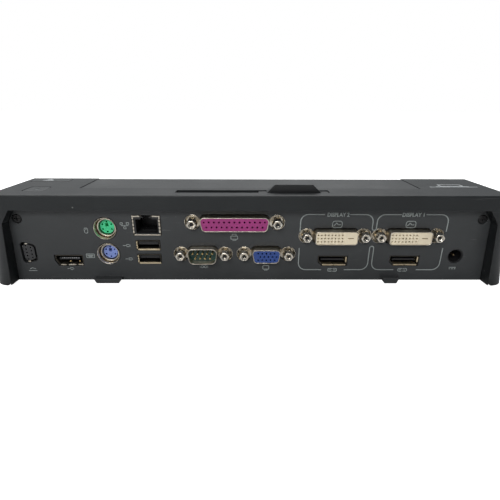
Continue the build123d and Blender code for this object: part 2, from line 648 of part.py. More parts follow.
def make_bar_switch():
    """Thumb tab on a slider in the fixed strip's slot, with the cam plate that drives the battery bar."""
    x0, x1 = 4.3, 42.8
    slider = block(x0, x1, SLOT[2] + 0.3, SLOT[3] - 0.3, 48.4, TOP_Z - 0.5)
    front = outline([(8.3, TOP_Z - 0.6), (38.8, TOP_Z - 0.6), (33.6, TOP_Z + 4.3), (13.2, TOP_Z + 4.3)])
    top = TOP_Z + 4.3
    side = outline([(-73.1, 51), (-73.1, top), (-71.6, top), (-67.5, TOP_Z - 0.2), (-67.5, 51)])
    tab = along_y(front, -73.1, -67.5) & along_x(side, 0, 50)
    plate = block(x0, 58.8, -73.2, -51.2, 46.9, 48.5)
    x, y = CAM_PIN
    angle = math.degrees(math.atan2(BAR_TRAVEL, SWITCH_TRAVEL))
    length = math.hypot(BAR_TRAVEL, SWITCH_TRAVEL)
    centre = Pos(x + SWITCH_TRAVEL / 2, y + BAR_TRAVEL / 2, 46) * Rot(0, 0, angle)
    cam = extrude(centre * SlotCenterToCenter(length, 3.7), amount=2.7)
    return (plate + slider + tab) - (cam & block(0, 60, -75, -50, 46, 48.55))


def make_power_button():
    x, y = POWER_BUTTON
    cap = extrude(Pos(x, y, 48.6) * RectangleRounded(11.5, 11.0, 1.8), amount=TOP_Z - 48.6)
    cap = fillet(cap.edges().group_by(Axis.Z)[-1], 0.5)
    flare = block(x - 6.6, x + 6.6, y - 5.2, y + 5.2, 47.2, 48.7)
    button = cap + flare + post(x, y, 13.2, 47.3, 2.0)
    window = post(x, y, TOP_Z - 1.0, TOP_Z + 1, 1.4)
    light = post(x, y, TOP_Z - 1.0, TOP_Z - 0.1, 1.4)
    return button - window, light


def make_power_switch():
    x, y = POWER_BUTTON
    return block(x - 3, x + 3, y - 3, y + 3, BOARD_TOP, 11.7) + post(x, y, 11.6, 12.2, 1.7)


WEDGE_GAP = 0.6         # measured along X between a sliding pair of 45 degree faces


def make_eject_button():
    x, y = EJECT
    cap = extrude(Pos(x, y, 48.0) * RectangleRounded(24.0, 7.0, 1.4), amount=TOP_Z + 0.2 - 48.0)
    cap = fillet(cap.edges().group_by(Axis.Z)[-1], 0.5)
    flare = block(x - 12.9, x + 12.9, y - 3.2, y + 3.2, 46.6, 48.1)
    stem = along_y(outline([(-127, 19.5), (-121, 25.5), (-121, 47), (-127, 47)]), y - 2.4, y + 2.4)
    seat = post(x + 8.5, y, 45.4, 46.7, 1.6)
    return cap + flare + stem + seat


def coil(x, y, z0, z1, radius, wire, turns):
    """An upright compression spring, its wire swept along a helix."""
    path = Helix((z1 - z0 - wire) / turns, z1 - z0 - wire, radius)
    start = path @ 0
    section = Plane(start, z_dir=path % 0) * Circle(wire / 2)
    return Pos(x, y, z0 + wire / 2) * sweep(section, path)


def make_eject_spring():
    x, y = EJECT
    return coil(x + 8.5, y, 30.0, 46.6, 2.6, 0.7, 7)


def make_latch_slider():
    z0, z1 = 12.4, 14.4
    rail = block(-116, 66, -30, -24.5, z0, z1)
    foot = block(-132, -114, -42, -24.5, z0, z1)
    line = -127 + (-19.5) + WEDGE_GAP     # x - z along the lower face of the eject stem
    top = 26.0
    ramp = outline([(line + z1, z1), (-115.5, z1), (-115.5, top), (line + top, top)])
    slider = rail + foot + along_y(ramp, EJECT[1] - 2.6, EJECT[1] + 2.6)
    for side in (-1, 1):
        centre = side * LIFT_X
        pin_line = centre + 3 + 16 - WEDGE_GAP      # x + z along the lower face of the lift pin
        cam_top = 21.5
        far = centre - 9.5
        cam = outline([(far, z1), (pin_line - z1, z1), (pin_line - cam_top, cam_top), (far, cam_top)])
        arm = (56.4, 75) if side > 0 else (-79.5, -56.4)
        slider = slider + block(*arm, -26, -12.5, z0, z1) + along_y(cam, -19.5, -12.5)
        hook = side * HOOK_X
        slider = slider + block(hook - 1.6, hook + 2.2, -19.5, -12.5, z0, 34)
        beak = outline([(hook - 4.4, 31.6), (hook - 1.5, 31.6), (hook - 1.5, 34), (hook - 3.2, 34)])
        slider = slider + along_y(beak, -19.5, -12.5)
    return slider + block(-106, -104.4, -30, -24.5, z1 - 0.1, 20)


def make_latch_spring():
    upright = coil(0, 0, 0, 12.4, 2.0, 0.6, 6)
    return Pos(-104.4, -27.25, 17.0) * Rot(0, 90, 0) * upright


def make_latch_frame():
    plate = block(-100, 92, -30.5, -3, 10.6, 12.2)
    plate = plate - block(-38.6, 38.6, DOCK_Y - 5.8, DOCK_Y + 5.8, 10, 13)
    plate = plate + block(-92.0, -90.4, -30.5, -24, 12.1, 20.4) - block(-93, -90, -30.0, -24, 12.1, 14.8)
    for x, y in [(-94, -8), (86, -8)]:
        plate = plate + post(x, y, BOARD_TOP, 10.7, 3.0)
    return plate


def make_lift_pin(side):
    centre = side * LIFT_X
    top = deck_z(DOCK_Y) + 0.6
    low = 16.0
    body = post(centre, DOCK_Y, 12, top, 3.0)
    body = fillet(body.edges().group_by(Axis.Z)[-1], 0.8)
    left, right = centre - 4, centre + 4
    keep = outline([(right, low - 1), (right, 40), (left, 40), (left, low + 7)])
    return body & along_y(keep, -25, -5)


def make_guide_posts():
    posts = []
    for side in (-1, 1):
        foot = post(side * POST_X, DOCK_Y, 12.2, 27.5, 4.2)
        shaft = post(side * POST_X, DOCK_Y, 27.4, 37.5, 3.2)
        posts.append(foot + chamfer(shaft.edges().group_by(Axis.Z)[-1], 2.4, 1.5))
    return Compound([s for p in posts for s in p.solids()])


def make_dock_connector():
    """Long two-row connector on the main board, standing through the deck."""
    top, half = 33.5, 37.8
    body = block(-half, half, DOCK_Y - 5.2, DOCK_Y + 5.2, BOARD_TOP, top)
    body = fillet(body.edges().filter_by(Axis.Z), 1.4)
    body = body - block(-half + 2.2, half - 2.2, DOCK_Y - 3.2, DOCK_Y + 3.2, top - 5.5, top + 1)
    blade = block(-half + 4, half - 4, DOCK_Y - 1.0, DOCK_Y + 1.0, top - 5.6, top - 0.8)
    contacts = []
    for side in (-1, 1):
        y = DOCK_Y + side * 1.15
        contacts.append(block(-half + 5, half - 5, y - 0.15, y + 0.15, top - 5.4, top - 1.4))
    return body + blade, Compound(contacts)


def make_main_board():
    rear = block(-131, 126, -71.4, -46, BOARD_TOP - BOARD_T, BOARD_TOP)
    front = block(-104, 104, -46.1, -8, BOARD_TOP - BOARD_T, BOARD_TOP)
    board = rear + front
    for x, y in HOUSING_SCREWS:
        board = board - post(x, y, 5, 10, BOSS_R + 0.5)
    return board


def make_lock_plate():
    y, z = LOCK_SLOT
    x = -base_wall_x(z + 6, WALL + 0.05)
    plate = block(x, x + 1.2, y - 9, y + 9, z - 6, z + 6)
    return plate - along_x(rectangle((y, z), 7.0, 3.0, 1.2), x - 1, x + 3)


# ---- the nodes --------------------------------------------------------------------------------------------
nodes = {
    "rear_housing": make_rear_housing(), "dock_deck": make_dock_deck(), "bottom_cover": make_bottom_cover(),
    "port_panel": make_port_panel(), "rubber_feet": make_rubber_feet(), "deck_pads": make_deck_pads(),
    "panel_screws": make_panel_screws(), "housing_screws": make_housing_screws(),
    "jackscrews": make_jackscrews(),
    "battery_bar": make_battery_bar(), "bar_switch": make_bar_switch(), "power_switch": make_power_switch(),
    "eject_button": make_eject_button(), "eject_spring": make_eject_spring(),
    "latch_slider": make_latch_slider(), "latch_spring": make_latch_spring(),
    "latch_frame": make_latch_frame(),
    "lift_pin_left": make_lift_pin(1), "lift_pin_right": make_lift_pin(-1), "guide_posts": make_guide_posts(),
    "audio_jacks": make_audio(), "main_board": make_main_board(), "lock_plate": make_lock_plate(),
}
nodes["parallel_port_shell"], nodes["parallel_port_insert"] = make_parallel()
nodes["vga_port_shell"], nodes["vga_port_insert"] = make_vga()
nodes["serial_port_shell"], nodes["serial_port_insert"], nodes["serial_port_pins"] = make_serial()
for number, (dvi, display) in enumerate(zip(DVI, DISPLAY), start=1):
    nodes[f"dvi_port_{number}_shell"], nodes[f"dvi_port_{number}_insert"] = make_dvi(dvi)
    nodes[f"display_port_{number}_shell"], nodes[f"display_port_{number}_tongue"] = make_display(display)
nodes["combo_port_shell"], nodes["combo_port_tongue"] = make_combo()
nodes["mouse_port_shell"], nodes["mouse_port_insert"] = make_din(DIN_PORTS["mouse"], 25.2, 39.4)
nodes["keyboard_port_shell"], nodes["keyboard_port_insert"] = make_din(DIN_PORTS["keyboard"], BOARD_TOP, 25.0)
nodes["network_jack_shell"], nodes["network_jack_insert"] = make_network()
nodes["usb_stack_shell"], nodes["usb_stack_tongues"] = make_usb_rear()
nodes["side_usb_shells"], nodes["side_usb_tongues"] = make_usb_side()
nodes["stand_connector"], nodes["stand_contacts"] = make_stand_connector()
nodes["power_jack_body"], nodes["power_jack_pin"] = make_power_jack()
nodes["power_button"], nodes["power_light"] = make_power_button()
nodes["dock_connector_housing"], nodes["dock_connector_contacts"] = make_dock_connector()

os.makedirs("parts", exist_ok=True)
for name, shape in nodes.items():
    export_step(shape, f"parts/{name}.step")
print(len(nodes), "nodes")
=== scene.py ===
"""Laptop docking station: procedural finishes, printed marks and formed-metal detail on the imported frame.

The file is laid out as an add-on: property groups hold the sizes and colours, one operator makes each group
of pieces, and main() runs them in order around the frame that is loaded at the top.
"""
import json
import math

import bpy
import numpy as np
from mathutils import Matrix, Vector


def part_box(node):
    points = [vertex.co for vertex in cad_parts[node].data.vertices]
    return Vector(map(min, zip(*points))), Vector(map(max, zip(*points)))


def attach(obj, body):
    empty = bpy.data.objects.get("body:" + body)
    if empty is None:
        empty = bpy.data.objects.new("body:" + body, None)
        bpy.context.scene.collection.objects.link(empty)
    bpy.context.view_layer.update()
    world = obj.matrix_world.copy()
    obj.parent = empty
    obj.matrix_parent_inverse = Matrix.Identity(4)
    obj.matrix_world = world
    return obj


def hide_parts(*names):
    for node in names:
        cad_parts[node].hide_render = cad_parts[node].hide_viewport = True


bl_info = {
    "name": "Laptop docking station",
    "version": (1, 0, 0),
    "blender": (4, 5, 0),
    "location": "3D View > Sidebar > Dock",
    "description": "Finishes, printed marks and formed-metal detail for a laptop docking station",
    "category": "Object",
}

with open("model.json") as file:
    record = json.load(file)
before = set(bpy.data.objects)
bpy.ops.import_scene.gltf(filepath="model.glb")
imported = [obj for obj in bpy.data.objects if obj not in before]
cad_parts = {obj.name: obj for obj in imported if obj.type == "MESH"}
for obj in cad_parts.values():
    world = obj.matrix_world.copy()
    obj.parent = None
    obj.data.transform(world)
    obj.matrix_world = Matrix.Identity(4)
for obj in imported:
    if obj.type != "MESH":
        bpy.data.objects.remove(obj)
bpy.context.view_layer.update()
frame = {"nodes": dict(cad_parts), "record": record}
MM = 0.001


# ---- places read from the frame ---------------------------------------------------------------------------
def span(node):
    """Lowest and highest corner of a node as two arrays."""
    low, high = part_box(node)
    return np.array(low), np.array(high)


def middle(node):
    """Centre of a node's box."""
    low, high = span(node)
    return (low + high) / 2


USB_PROUD = 0.2 * MM                                        # the USB shell stands out of the panel by this
FLANGE_THICK = 0.8 * MM
PANEL_FACE = span("usb_stack_shell")[0][1] + USB_PROUD      # outer face of the port panel
SCREW_FRONT, SCREW_BACK = (corner[1] for corner in span("jackscrews"))
FLANGE_FACE = SCREW_BACK - FLANGE_THICK                     # outer face of the connector flanges
TOP_Z = span("rear_housing")[1][2]
INK_SUNK = 0.01 * MM                                        # how far a print's back lies under its surface


# ---- sizes and colours ------------------------------------------------------------------------------------
def colour(name, text, value):
    """A colour setting."""
    return bpy.props.FloatVectorProperty(
        name=name, description=text, default=value, subtype="COLOR", size=len(value), min=0.0, max=1.0
    )


def length(name, text, value):
    """A setting in metres."""
    return bpy.props.FloatProperty(
        name=name, description=text, default=value, unit="LENGTH", subtype="DISTANCE", precision=5
    )


def factor(name, text, value):
    """A plain number setting."""
    return bpy.props.FloatProperty(name=name, description=text, default=value, min=0.0, max=10.0)


class DockFinishSettings(bpy.types.PropertyGroup):
    """Colours and wear of the finishes."""
    casing: colour("Casing", "Charcoal moulding of the bar, deck and cover", (0.0135, 0.0155, 0.0165))
    # The panel is the same charcoal moulding as the casing; its paler tone is painted light for the brighter
    # front light it catches under the dark brow.
    panel: colour("Port panel", "Moulding of the port panel", (0.032, 0.0345, 0.036))
    switch: colour("Switch", "Moulding of the thumb switch", (0.009, 0.0095, 0.0105))
    ink: colour("Printed ink", "Grey ink of the marks on the panel", (0.30, 0.33, 0.32))
    tin: colour("Tin plate", "Plated sheet metal of the port shells", (0.66, 0.615, 0.53))
    nickel: colour("Nickel", "Plating of the jackscrews", (0.80, 0.76, 0.68))
    gold: colour("Gold flash", "Contacts", (0.78, 0.56, 0.26))
    steel: colour("Zinc plate", "Latch parts and posts", (0.56, 0.57, 0.58))
    magenta: colour("Parallel port", "Insert of the 25-way port", (0.32, 0.024, 0.17))
    teal: colour("Serial port", "Insert of the 9-way port", (0.003, 0.040, 0.034))
    blue: colour("Monitor port", "Insert of the 15-way port", (0.018, 0.055, 0.23))
    ivory: colour("Digital ports", "Insert of the digital video ports", (0.78, 0.68, 0.50))
    green: colour("Mouse port", "Disc of the mouse port", (0.045, 0.62, 0.27))
    violet: colour("Keyboard port", "Disc of the keyboard port", (0.21, 0.29, 0.66))
    rough: factor("Roughness", "Roughness of the charcoal moulding", 0.47)
    wear: factor("Edge wear", "Paler rubbed edges on the moulding", 0.35)
    dust: factor("Dust", "Dust settled on upward faces", 0.22)


class DockDetailSettings(bpy.types.PropertyGroup):
    """Sizes of the print and of the pressed shells."""
    line: length("Line width", "Width of the printed frames' lines", 0.55 * MM)
    sign_line: length("Sign line", "Width of the signs' lines", 0.42 * MM)
    ink: length("Ink height", "Thickness of the printed ink", 0.03 * MM)
    sheet: length("Sheet thickness", "Wall of the pressed port shells", 0.45 * MM)
    lip: length("Lip radius", "Rolled edge of the pressed shells", 0.22 * MM)
    label: length("Label height", "Height of the printed words", 2.4 * MM)


class DockStageSettings(bpy.types.PropertyGroup):
    """Camera and lights."""
    lens: bpy.props.FloatProperty(
        name="Lens", description="Focal length on a 36 mm wide sensor", default=26.42, unit="CAMERA"
    )
    pitch: bpy.props.FloatProperty(
        name="Pitch", description="Downward tilt", default=math.radians(21.583), subtype="ANGLE"
    )
    yaw: bpy.props.FloatProperty(
        name="Yaw", description="Turn to the right", default=math.radians(0.388), subtype="ANGLE"
    )
    roll: bpy.props.FloatProperty(
        name="Roll", description="Roll of the camera", default=math.radians(0.203), subtype="ANGLE"
    )
    place: bpy.props.FloatVectorProperty(
        name="Camera place", description="Where the camera stands",
        default=(-1.633 * MM, -269.547 * MM, 96.232 * MM), subtype="TRANSLATION"
    )
    key: factor("Overhead light", "Watts of the overhead soft light", 13.0)
    fill: factor("Front light", "Watts of the soft light in front of the ports", 8.0)


# ---- surfaces ---------------------------------------------------------------------------------------------
def rounded(corners, radius, arc=8):
    """Rounded polygon: each corner's arc is centre + (a sin((1-s)t) + b sin(st)) / sin t, where a and b
    run from the arc's centre to the two tangent points, t is the turn and s goes from 0 to 1."""
    c = np.asarray(corners, float)
    back, on = np.roll(c, 1, 0) - c, np.roll(c, -1, 0) - c
    back /= np.linalg.norm(back, axis=1)[:, None]
    on /= np.linalg.norm(on, axis=1)[:, None]
    half = 0.5 * np.arccos(np.clip((back * on).sum(1), -1, 1))
    mid = (back + on) / np.linalg.norm(back + on, axis=1)[:, None]
    centre = c + mid * (radius / np.sin(half))[:, None]
    reach = (radius / np.tan(half))[:, None]
    a, b, turn = c + back * reach - centre, c + on * reach - centre, (math.pi - 2 * half)[:, None]
    s = np.linspace(0, 1, arc)[None, :]
    wa, wb = np.sin((1 - s) * turn) / np.sin(turn), np.sin(s * turn) / np.sin(turn)
    return (centre[:, None] + a[:, None] * wa[..., None] + b[:, None] * wb[..., None]).reshape(-1, 2)


def box_outline(x, z, width, height, radius, arc=8):
    """Rounded rectangle about (x, z)."""
    w, h = width / 2, height / 2
    return rounded([(x - w, z - h), (x + w, z - h), (x + w, z + h), (x - w, z + h)], radius, arc)


def d_outline(x, z, width, height, radius, arc=8, slant=math.radians(10)):
    """D-sub outline, wide side up, counter-clockwise from the lower left corner."""
    lean = height * math.tan(slant)
    w, n, h = width / 2, width / 2 - lean, height / 2
    return rounded([(x - n, z - h), (x + n, z - h), (x + w, z + h), (x - w, z + h)], radius, arc)


def ring(x, z, radius, count=32, phase=0.0):
    """Circle: (x + r cos t, z + r sin t)."""
    t = phase + np.arange(count) / count * 2 * math.pi
    return np.stack([x + radius * np.cos(t), z + radius * np.sin(t)], 1)


def onto_circle(points, x, z, radius):
    """Moves an outline's points along their own directions from (x, z) to a circle."""
    d = points - (x, z)
    return (x, z) + d / np.linalg.norm(d, axis=1)[:, None] * radius


def port_side(points, y):
    """An X-Z outline at depth y."""
    return np.stack([points[:, 0], np.full(len(points), y), points[:, 1]], 1)


def table_up(points, z):
    """An X-Y outline at height z."""
    return np.stack([points[:, 0], points[:, 1], np.full(len(points), z)], 1)


def volume(verts, faces):
    """Signed volume: a sixth of the sum of a.(b x c) over each face's fan of triangles."""
    total = 0.0
    for size in {len(f) for f in faces}:
        quads = np.array([f for f in faces if len(f) == size])
        a = verts[quads[:, 0]]
        for k in range(1, size - 1):
            total += np.einsum("ij,ij->i", a, np.cross(verts[quads[:, k]], verts[quads[:, k + 1]])).sum()
    return total / 6


def skin(layers, closed=False):
    """Closed surface through matching rings: quads join ring i to ring i + 1; the two ends are joined to each
    other when closed, and capped with a flat face otherwise. Faces are turned outwards by signed volume."""
    grid = np.array(layers)
    rows, cols = grid.shape[:2]
    verts = grid.reshape(-1, 3)
    r = np.arange(rows if closed else rows - 1)[:, None]
    c = np.arange(cols)[None, :]
    below, above = (r * cols), ((r + 1) % rows * cols)
    on = (c + 1) % cols
    quads = np.stack([below + c, below + on, above + on, above + c], -1).reshape(-1, 4)
    faces = [tuple(q) for q in quads.tolist()]
    if not closed:
        faces.append(tuple(range(cols))[::-1])
        faces.append(tuple(range((rows - 1) * cols, rows * cols)))
    if volume(verts, faces) < 0:
        faces = [f[::-1] for f in faces]
    return verts, faces


def plate(outline, place, low, high):
    """Flat plate between two heights on a face; place(points, height) puts it in space."""
    return skin([place(outline, low), place(outline, high)])


def stroke(path, width, place, low, high, closed=False):
    """Ribbon along a path: each point is offset half the width along the mean normal of its two runs,
    lengthened by one over the cosine of half the turn, and carried from the low to the high level."""
    p = np.asarray(path, float)
    run = np.roll(p, -1, 0) - p
    run /= np.maximum(np.linalg.norm(run, axis=1), 1e-12)[:, None]
    before = np.roll(run, 1, 0)
    if not closed:
        run[-1] = before[-1]
        before[0] = run[0]
    normal = np.stack([-(run + before)[:, 1], (run + before)[:, 0]], 1)
    normal /= np.linalg.norm(normal, axis=1)[:, None]
    across = np.stack([-run[:, 1], run[:, 0]], 1)
    stretch = 1 / np.clip((normal * across).sum(1), 0.4, 1)
    side = normal * (stretch * width / 2)[:, None]
    left, right = p + side, p - side
    layers = np.stack([place(left, low), place(right, low), place(right, high), place(left, high)], 1)
    return skin(layers, closed)


def merged(shells):
    """Several closed surfaces as one vertex array and one list of faces."""
    verts, faces, start = [], [], 0
    for v, f in shells:
        verts.append(v)
        faces += [tuple(i + start for i in face) for face in f]
        start += len(v)
    return np.concatenate(verts), faces


def make_piece(name, shells, finish, body="base", stands_for=(), sharp=35.0):
    """One mesh object from closed surfaces, smooth except over edges sharper than the given angle, with a
    finish by name; it can stand for nodes of the frame."""
    verts, faces = merged(shells)
    mesh = bpy.data.meshes.new(name)
    mesh.from_pydata(verts.tolist(), [], faces)
    mesh.validate()
    mesh.shade_smooth()
    mesh.set_sharp_from_angle(angle=math.radians(sharp))
    mesh.materials.append(MATERIALS[finish])
    piece = bpy.data.objects.new(name, mesh)
    bpy.context.scene.collection.objects.link(piece)
    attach(piece, body)
    if stands_for:
        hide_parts(*stands_for)
    return piece


# ---- shared shader groups ---------------------------------------------------------------------------------
class Tree:
    """A node tree with short calls for adding and linking nodes."""

    def __init__(self, tree):
        self.tree = tree

    def feed(self, node, key, value):
        """Links a value into an input, or sets it there when it is a constant."""
        if isinstance(value, bpy.types.NodeSocket):
            self.tree.links.new(value, node.inputs[key])
        else:
            node.inputs[key].default_value = value

    def add(self, kind, inputs=None, **settings):
        node = self.tree.nodes.new(kind)
        for key, value in settings.items():
            setattr(node, key, value)
        for key, value in (inputs or {}).items():
            self.feed(node, key, value)
        return node

    def math(self, operation, a, b=0.0, c=None):
        inputs = {0: a, 1: b}
        if c is not None:
            inputs[2] = c
        return self.add("ShaderNodeMath", inputs, operation=operation).outputs[0]

    def band(self, value, low, high, to_low=0.0, to_high=1.0):
        """Smooth step of a value from one range to another."""
        inputs = {"Value": value, "From Min": low, "From Max": high, "To Min": to_low, "To Max": to_high}
        return self.add("ShaderNodeMapRange", inputs, interpolation_type="SMOOTHSTEP").outputs[0]

    def noise(self, scale, detail=2.0, rough=0.5, vector=None):
        if vector is None:
            vector = self.add("ShaderNodeTexCoord").outputs["Object"]
        inputs = {"Scale": scale, "Detail": detail, "Roughness": rough, "Vector": vector}
        return self.add("ShaderNodeTexNoise", inputs).outputs[0]

    def blend(self, share, a, b):
        """Colour a where the share is 0 and colour b where it is 1."""
        return self.add("ShaderNodeMix", {0: share, 6: a, 7: b}, data_type="RGBA").outputs[2]


def shader_group(name, inputs, outputs, fill):
    """A shader node group made once: inputs are {name: default}, outputs a list of names, all floats."""
    if name in bpy.data.node_groups:
        return bpy.data.node_groups[name]
    group = bpy.data.node_groups.new(name, "ShaderNodeTree")
    for key, value in inputs.items():
        socket = group.interface.new_socket(key, in_out="INPUT", socket_type="NodeSocketFloat")
        socket.default_value = value
    for key in outputs:
        group.interface.new_socket(key, in_out="OUTPUT", socket_type="NodeSocketFloat")
    tree = Tree(group)
    enter, leave = tree.add("NodeGroupInput"), tree.add("NodeGroupOutput")
    for key, value in zip(outputs, fill(tree, enter.outputs)):
        tree.feed(leave, key, value)
    return group


def fill_grain(t, given):
    """Spark-eroded mould texture: rounded cells over a fine noise, and a slow drift of tone."""
    place = t.add("ShaderNodeTexCoord").outputs["Object"]
    cells = t.add("ShaderNodeTexVoronoi", {"Vector": place, "Scale": given["Scale"]}, feature="SMOOTH_F1")
    fine = t.noise(t.math("MULTIPLY", given["Scale"], 1.7), 2.0, 0.6, place)
    height = t.math("ADD", t.math("MULTIPLY", cells.outputs["Distance"], 0.6), t.math("MULTIPLY", fine, 0.5))
    drift = t.band(t.noise(26.0, 4.0, 0.62, place), 0.32, 0.70)
    return height, drift


def fill_wear(t, given):
    """Rubbed edges: how far a rounded normal leans from the face's own, broken up by noise."""
    soft = t.add("ShaderNodeBevel", {"Radius": given["Radius"]}, samples=6).outputs[0]
    flat = t.add("ShaderNodeNewGeometry").outputs["Normal"]
    dot = t.add("ShaderNodeVectorMath", {0: soft, 1: flat}, operation="DOT_PRODUCT").outputs["Value"]
    lean = t.band(t.math("SUBTRACT", 1.0, dot), 0.015, 0.20)
    patch = t.band(t.noise(180.0, 5.0, 0.7), 0.42, 0.66)
    return (t.math("MULTIPLY", t.math("MULTIPLY", lean, patch), given["Amount"]),)


def fill_dust(t, given):
    """Dust: the upward share of the normal times a cloudy noise, with scattered lint specks."""
    up = t.add("ShaderNodeSeparateXYZ", {0: t.add("ShaderNodeNewGeometry").outputs["Normal"]}).outputs[2]
    cloud = t.band(t.noise(48.0, 6.0, 0.68), 0.40, 0.78)
    film = t.math("MULTIPLY", t.math("MULTIPLY", t.band(up, 0.25, 0.95), cloud), given["Film"])
    place = t.add("ShaderNodeTexCoord").outputs["Object"]
    cells = t.add("ShaderNodeTexVoronoi", {"Vector": place, "Scale": 170.0, "Randomness": 1.0})
    near = t.band(cells.outputs["Distance"], 0.10, 0.03)
    chance = t.add("ShaderNodeSeparateColor", {0: cells.outputs["Color"]}).outputs[0]
    pick = t.math("GREATER_THAN", chance, 0.965)
    specks = t.math("MULTIPLY", t.math("MULTIPLY", near, pick), given["Specks"])
    return film, specks


def fill_scuff(t, given):
    """Fine hairline scuffs: noise stretched along X, thresholded, and kept to a few patches."""
    place = t.add("ShaderNodeTexCoord").outputs["Object"]
    turn, stretch = (0, 0.5, 0.35), (60, 900, 900)
    stretched = t.add("ShaderNodeMapping", {"Vector": place, "Rotation": turn, "Scale": stretch})
    lines = t.band(t.noise(1.0, 3.0, 0.6, stretched.outputs[0]), 0.62, 0.72)
    patch = t.band(t.noise(22.0, 3.0, 0.5, place), 0.50, 0.66)
    return (t.math("MULTIPLY", t.math("MULTIPLY", lines, patch), given["Amount"]),)


def fill_plating(t, given):
    """Plated metal: cloudy tarnish and small pits."""
    place = t.add("ShaderNodeTexCoord").outputs["Object"]
    cloud = t.band(t.noise(given["Scale"], 5.0, 0.65, place), 0.34, 0.72)
    pits = t.band(t.noise(t.math("MULTIPLY", given["Scale"], 9.0), 2.0, 0.5, place), 0.62, 0.74)
    return cloud, pits


def groups():
    """Every shared group by its short name."""
    return {
        "grain": shader_group("Moulded grain", {"Scale": 2600.0}, ["Height", "Tone"], fill_grain),
        "wear": shader_group("Rubbed edges", {"Radius": 0.0006, "Amount": 1.0}, ["Mask"], fill_wear),
        "dust": shader_group("Settled dust", {"Film": 0.3, "Specks": 1.0}, ["Film", "Specks"], fill_dust),
        "scuff": shader_group("Hairline scuffs", {"Amount": 0.5}, ["Mask"], fill_scuff),
        "plating": shader_group("Plating", {"Scale": 240.0}, ["Cloud", "Pits"], fill_plating),
    }


# ---- materials --------------------------------------------------------------------------------------------
def rgba(value, scale=1.0):
    """A tone as an opaque colour."""
    return tuple(min(1.0, c * scale) for c in value[:3]) + (1.0,)


def tinted(tone, share):
    """A tone times one share, or times one for each channel."""
    return tuple(np.array(tone[:3]) * share)


def start_material(name):
    """A new material, its tree and its main shader."""
    material = bpy.data.materials.new(name)
    material.use_nodes = True
    tree = Tree(material.node_tree)
    return material, tree, material.node_tree.nodes["Principled BSDF"]


def place_group(t, name, **values):
    """Outputs of a shared group placed in a tree."""
    node = t.add("ShaderNodeGroup")
    node.node_tree = groups()[name]
    for key, value in values.items():
        node.inputs[key].default_value = value
    return node.outputs


def relief(t, shader, edge, strength, distance, height):
    """Softened edges under a bump, on the shader's normal; the edge is in mm."""
    soft = t.add("ShaderNodeBevel", {"Radius": edge * MM}, samples=6).outputs[0]
    bump = {"Strength": strength, "Distance": distance, "Height": height, "Normal": soft}
    t.feed(shader, "Normal", t.add("ShaderNodeBump", bump).outputs[0])


def plastic(
    name, tone, rough, grain=2600.0, depth=0.10, wear=0.3, dust=0.2, specks=1.0, scuffs=0.3, edge=0.35,
    gloss=0.5
):
    """Moulded plastic: drifting tone, rubbed pale edges, scuffs, dust and a bumpy mould grain."""
    material, t, shader = start_material(name)
    shader.inputs["Specular IOR Level"].default_value = gloss
    mould = place_group(t, "grain", Scale=grain)
    rubbed = place_group(t, "wear", Radius=edge * 2 * MM, Amount=wear)
    settled = place_group(t, "dust", Film=dust, Specks=specks)
    scuffed = place_group(t, "scuff", Amount=scuffs)
    colour_now = t.blend(mould["Tone"], rgba(tone, 0.88), rgba(tone, 1.14))
    pale = tuple(0.55 * c + 0.085 for c in tone[:3])
    colour_now = t.blend(rubbed["Mask"], colour_now, rgba(pale))
    colour_now = t.blend(scuffed["Mask"], colour_now, rgba(pale))
    grey = tuple(0.6 * c + 0.10 for c in tone[:3])
    colour_now = t.blend(settled["Film"], colour_now, rgba(grey))
    colour_now = t.blend(settled["Specks"], colour_now, (0.14, 0.14, 0.135, 1))
    t.feed(shader, "Base Color", colour_now)
    base = t.math("MULTIPLY_ADD", mould["Tone"], 0.07, rough - 0.03)
    base = t.math("MULTIPLY_ADD", settled["Film"], 0.25, base)
    base = t.math("MULTIPLY_ADD", rubbed["Mask"], -0.10, base)
    t.feed(shader, "Roughness", base)
    relief(t, shader, edge, depth, 0.25 * MM, mould["Height"])
    return material


def metal(name, tone, rough, scale=240.0, tarnish=0.5, depth=0.12, edge=0.15):
    """Plated metal: bright tone clouded by warm tarnish, pitted roughness and softened edges."""
    material, t, shader = start_material(name)
    plated = place_group(t, "plating", Scale=scale)
    shader.inputs["Metallic"].default_value = 1.0
    dull = (tone[0] * 0.62, tone[1] * 0.52, tone[2] * 0.40, 1)
    share = t.math("MULTIPLY", plated["Cloud"], tarnish)
    t.feed(shader, "Base Color", t.blend(share, rgba(tone), dull))
    base = t.math("MULTIPLY_ADD", plated["Cloud"], 0.14, rough)
    base = t.math("MULTIPLY_ADD", plated["Pits"], 0.12, base)
    t.feed(shader, "Roughness", base)
    relief(t, shader, edge, depth, 0.1 * MM, plated["Pits"])
    return material


def circuit_board(name):
    """Green solder resist with a fine copper tone under it."""
    material, t, shader = start_material(name)
    plated = place_group(t, "plating", Scale=420.0)
    resist, copper = (0.012, 0.085, 0.035, 1), (0.03, 0.16, 0.06, 1)
    t.feed(shader, "Base Color", t.blend(plated["Pits"], resist, copper))
    t.feed(shader, "Roughness", t.math("MULTIPLY_ADD", plated["Cloud"], 0.15, 0.28))
    return material


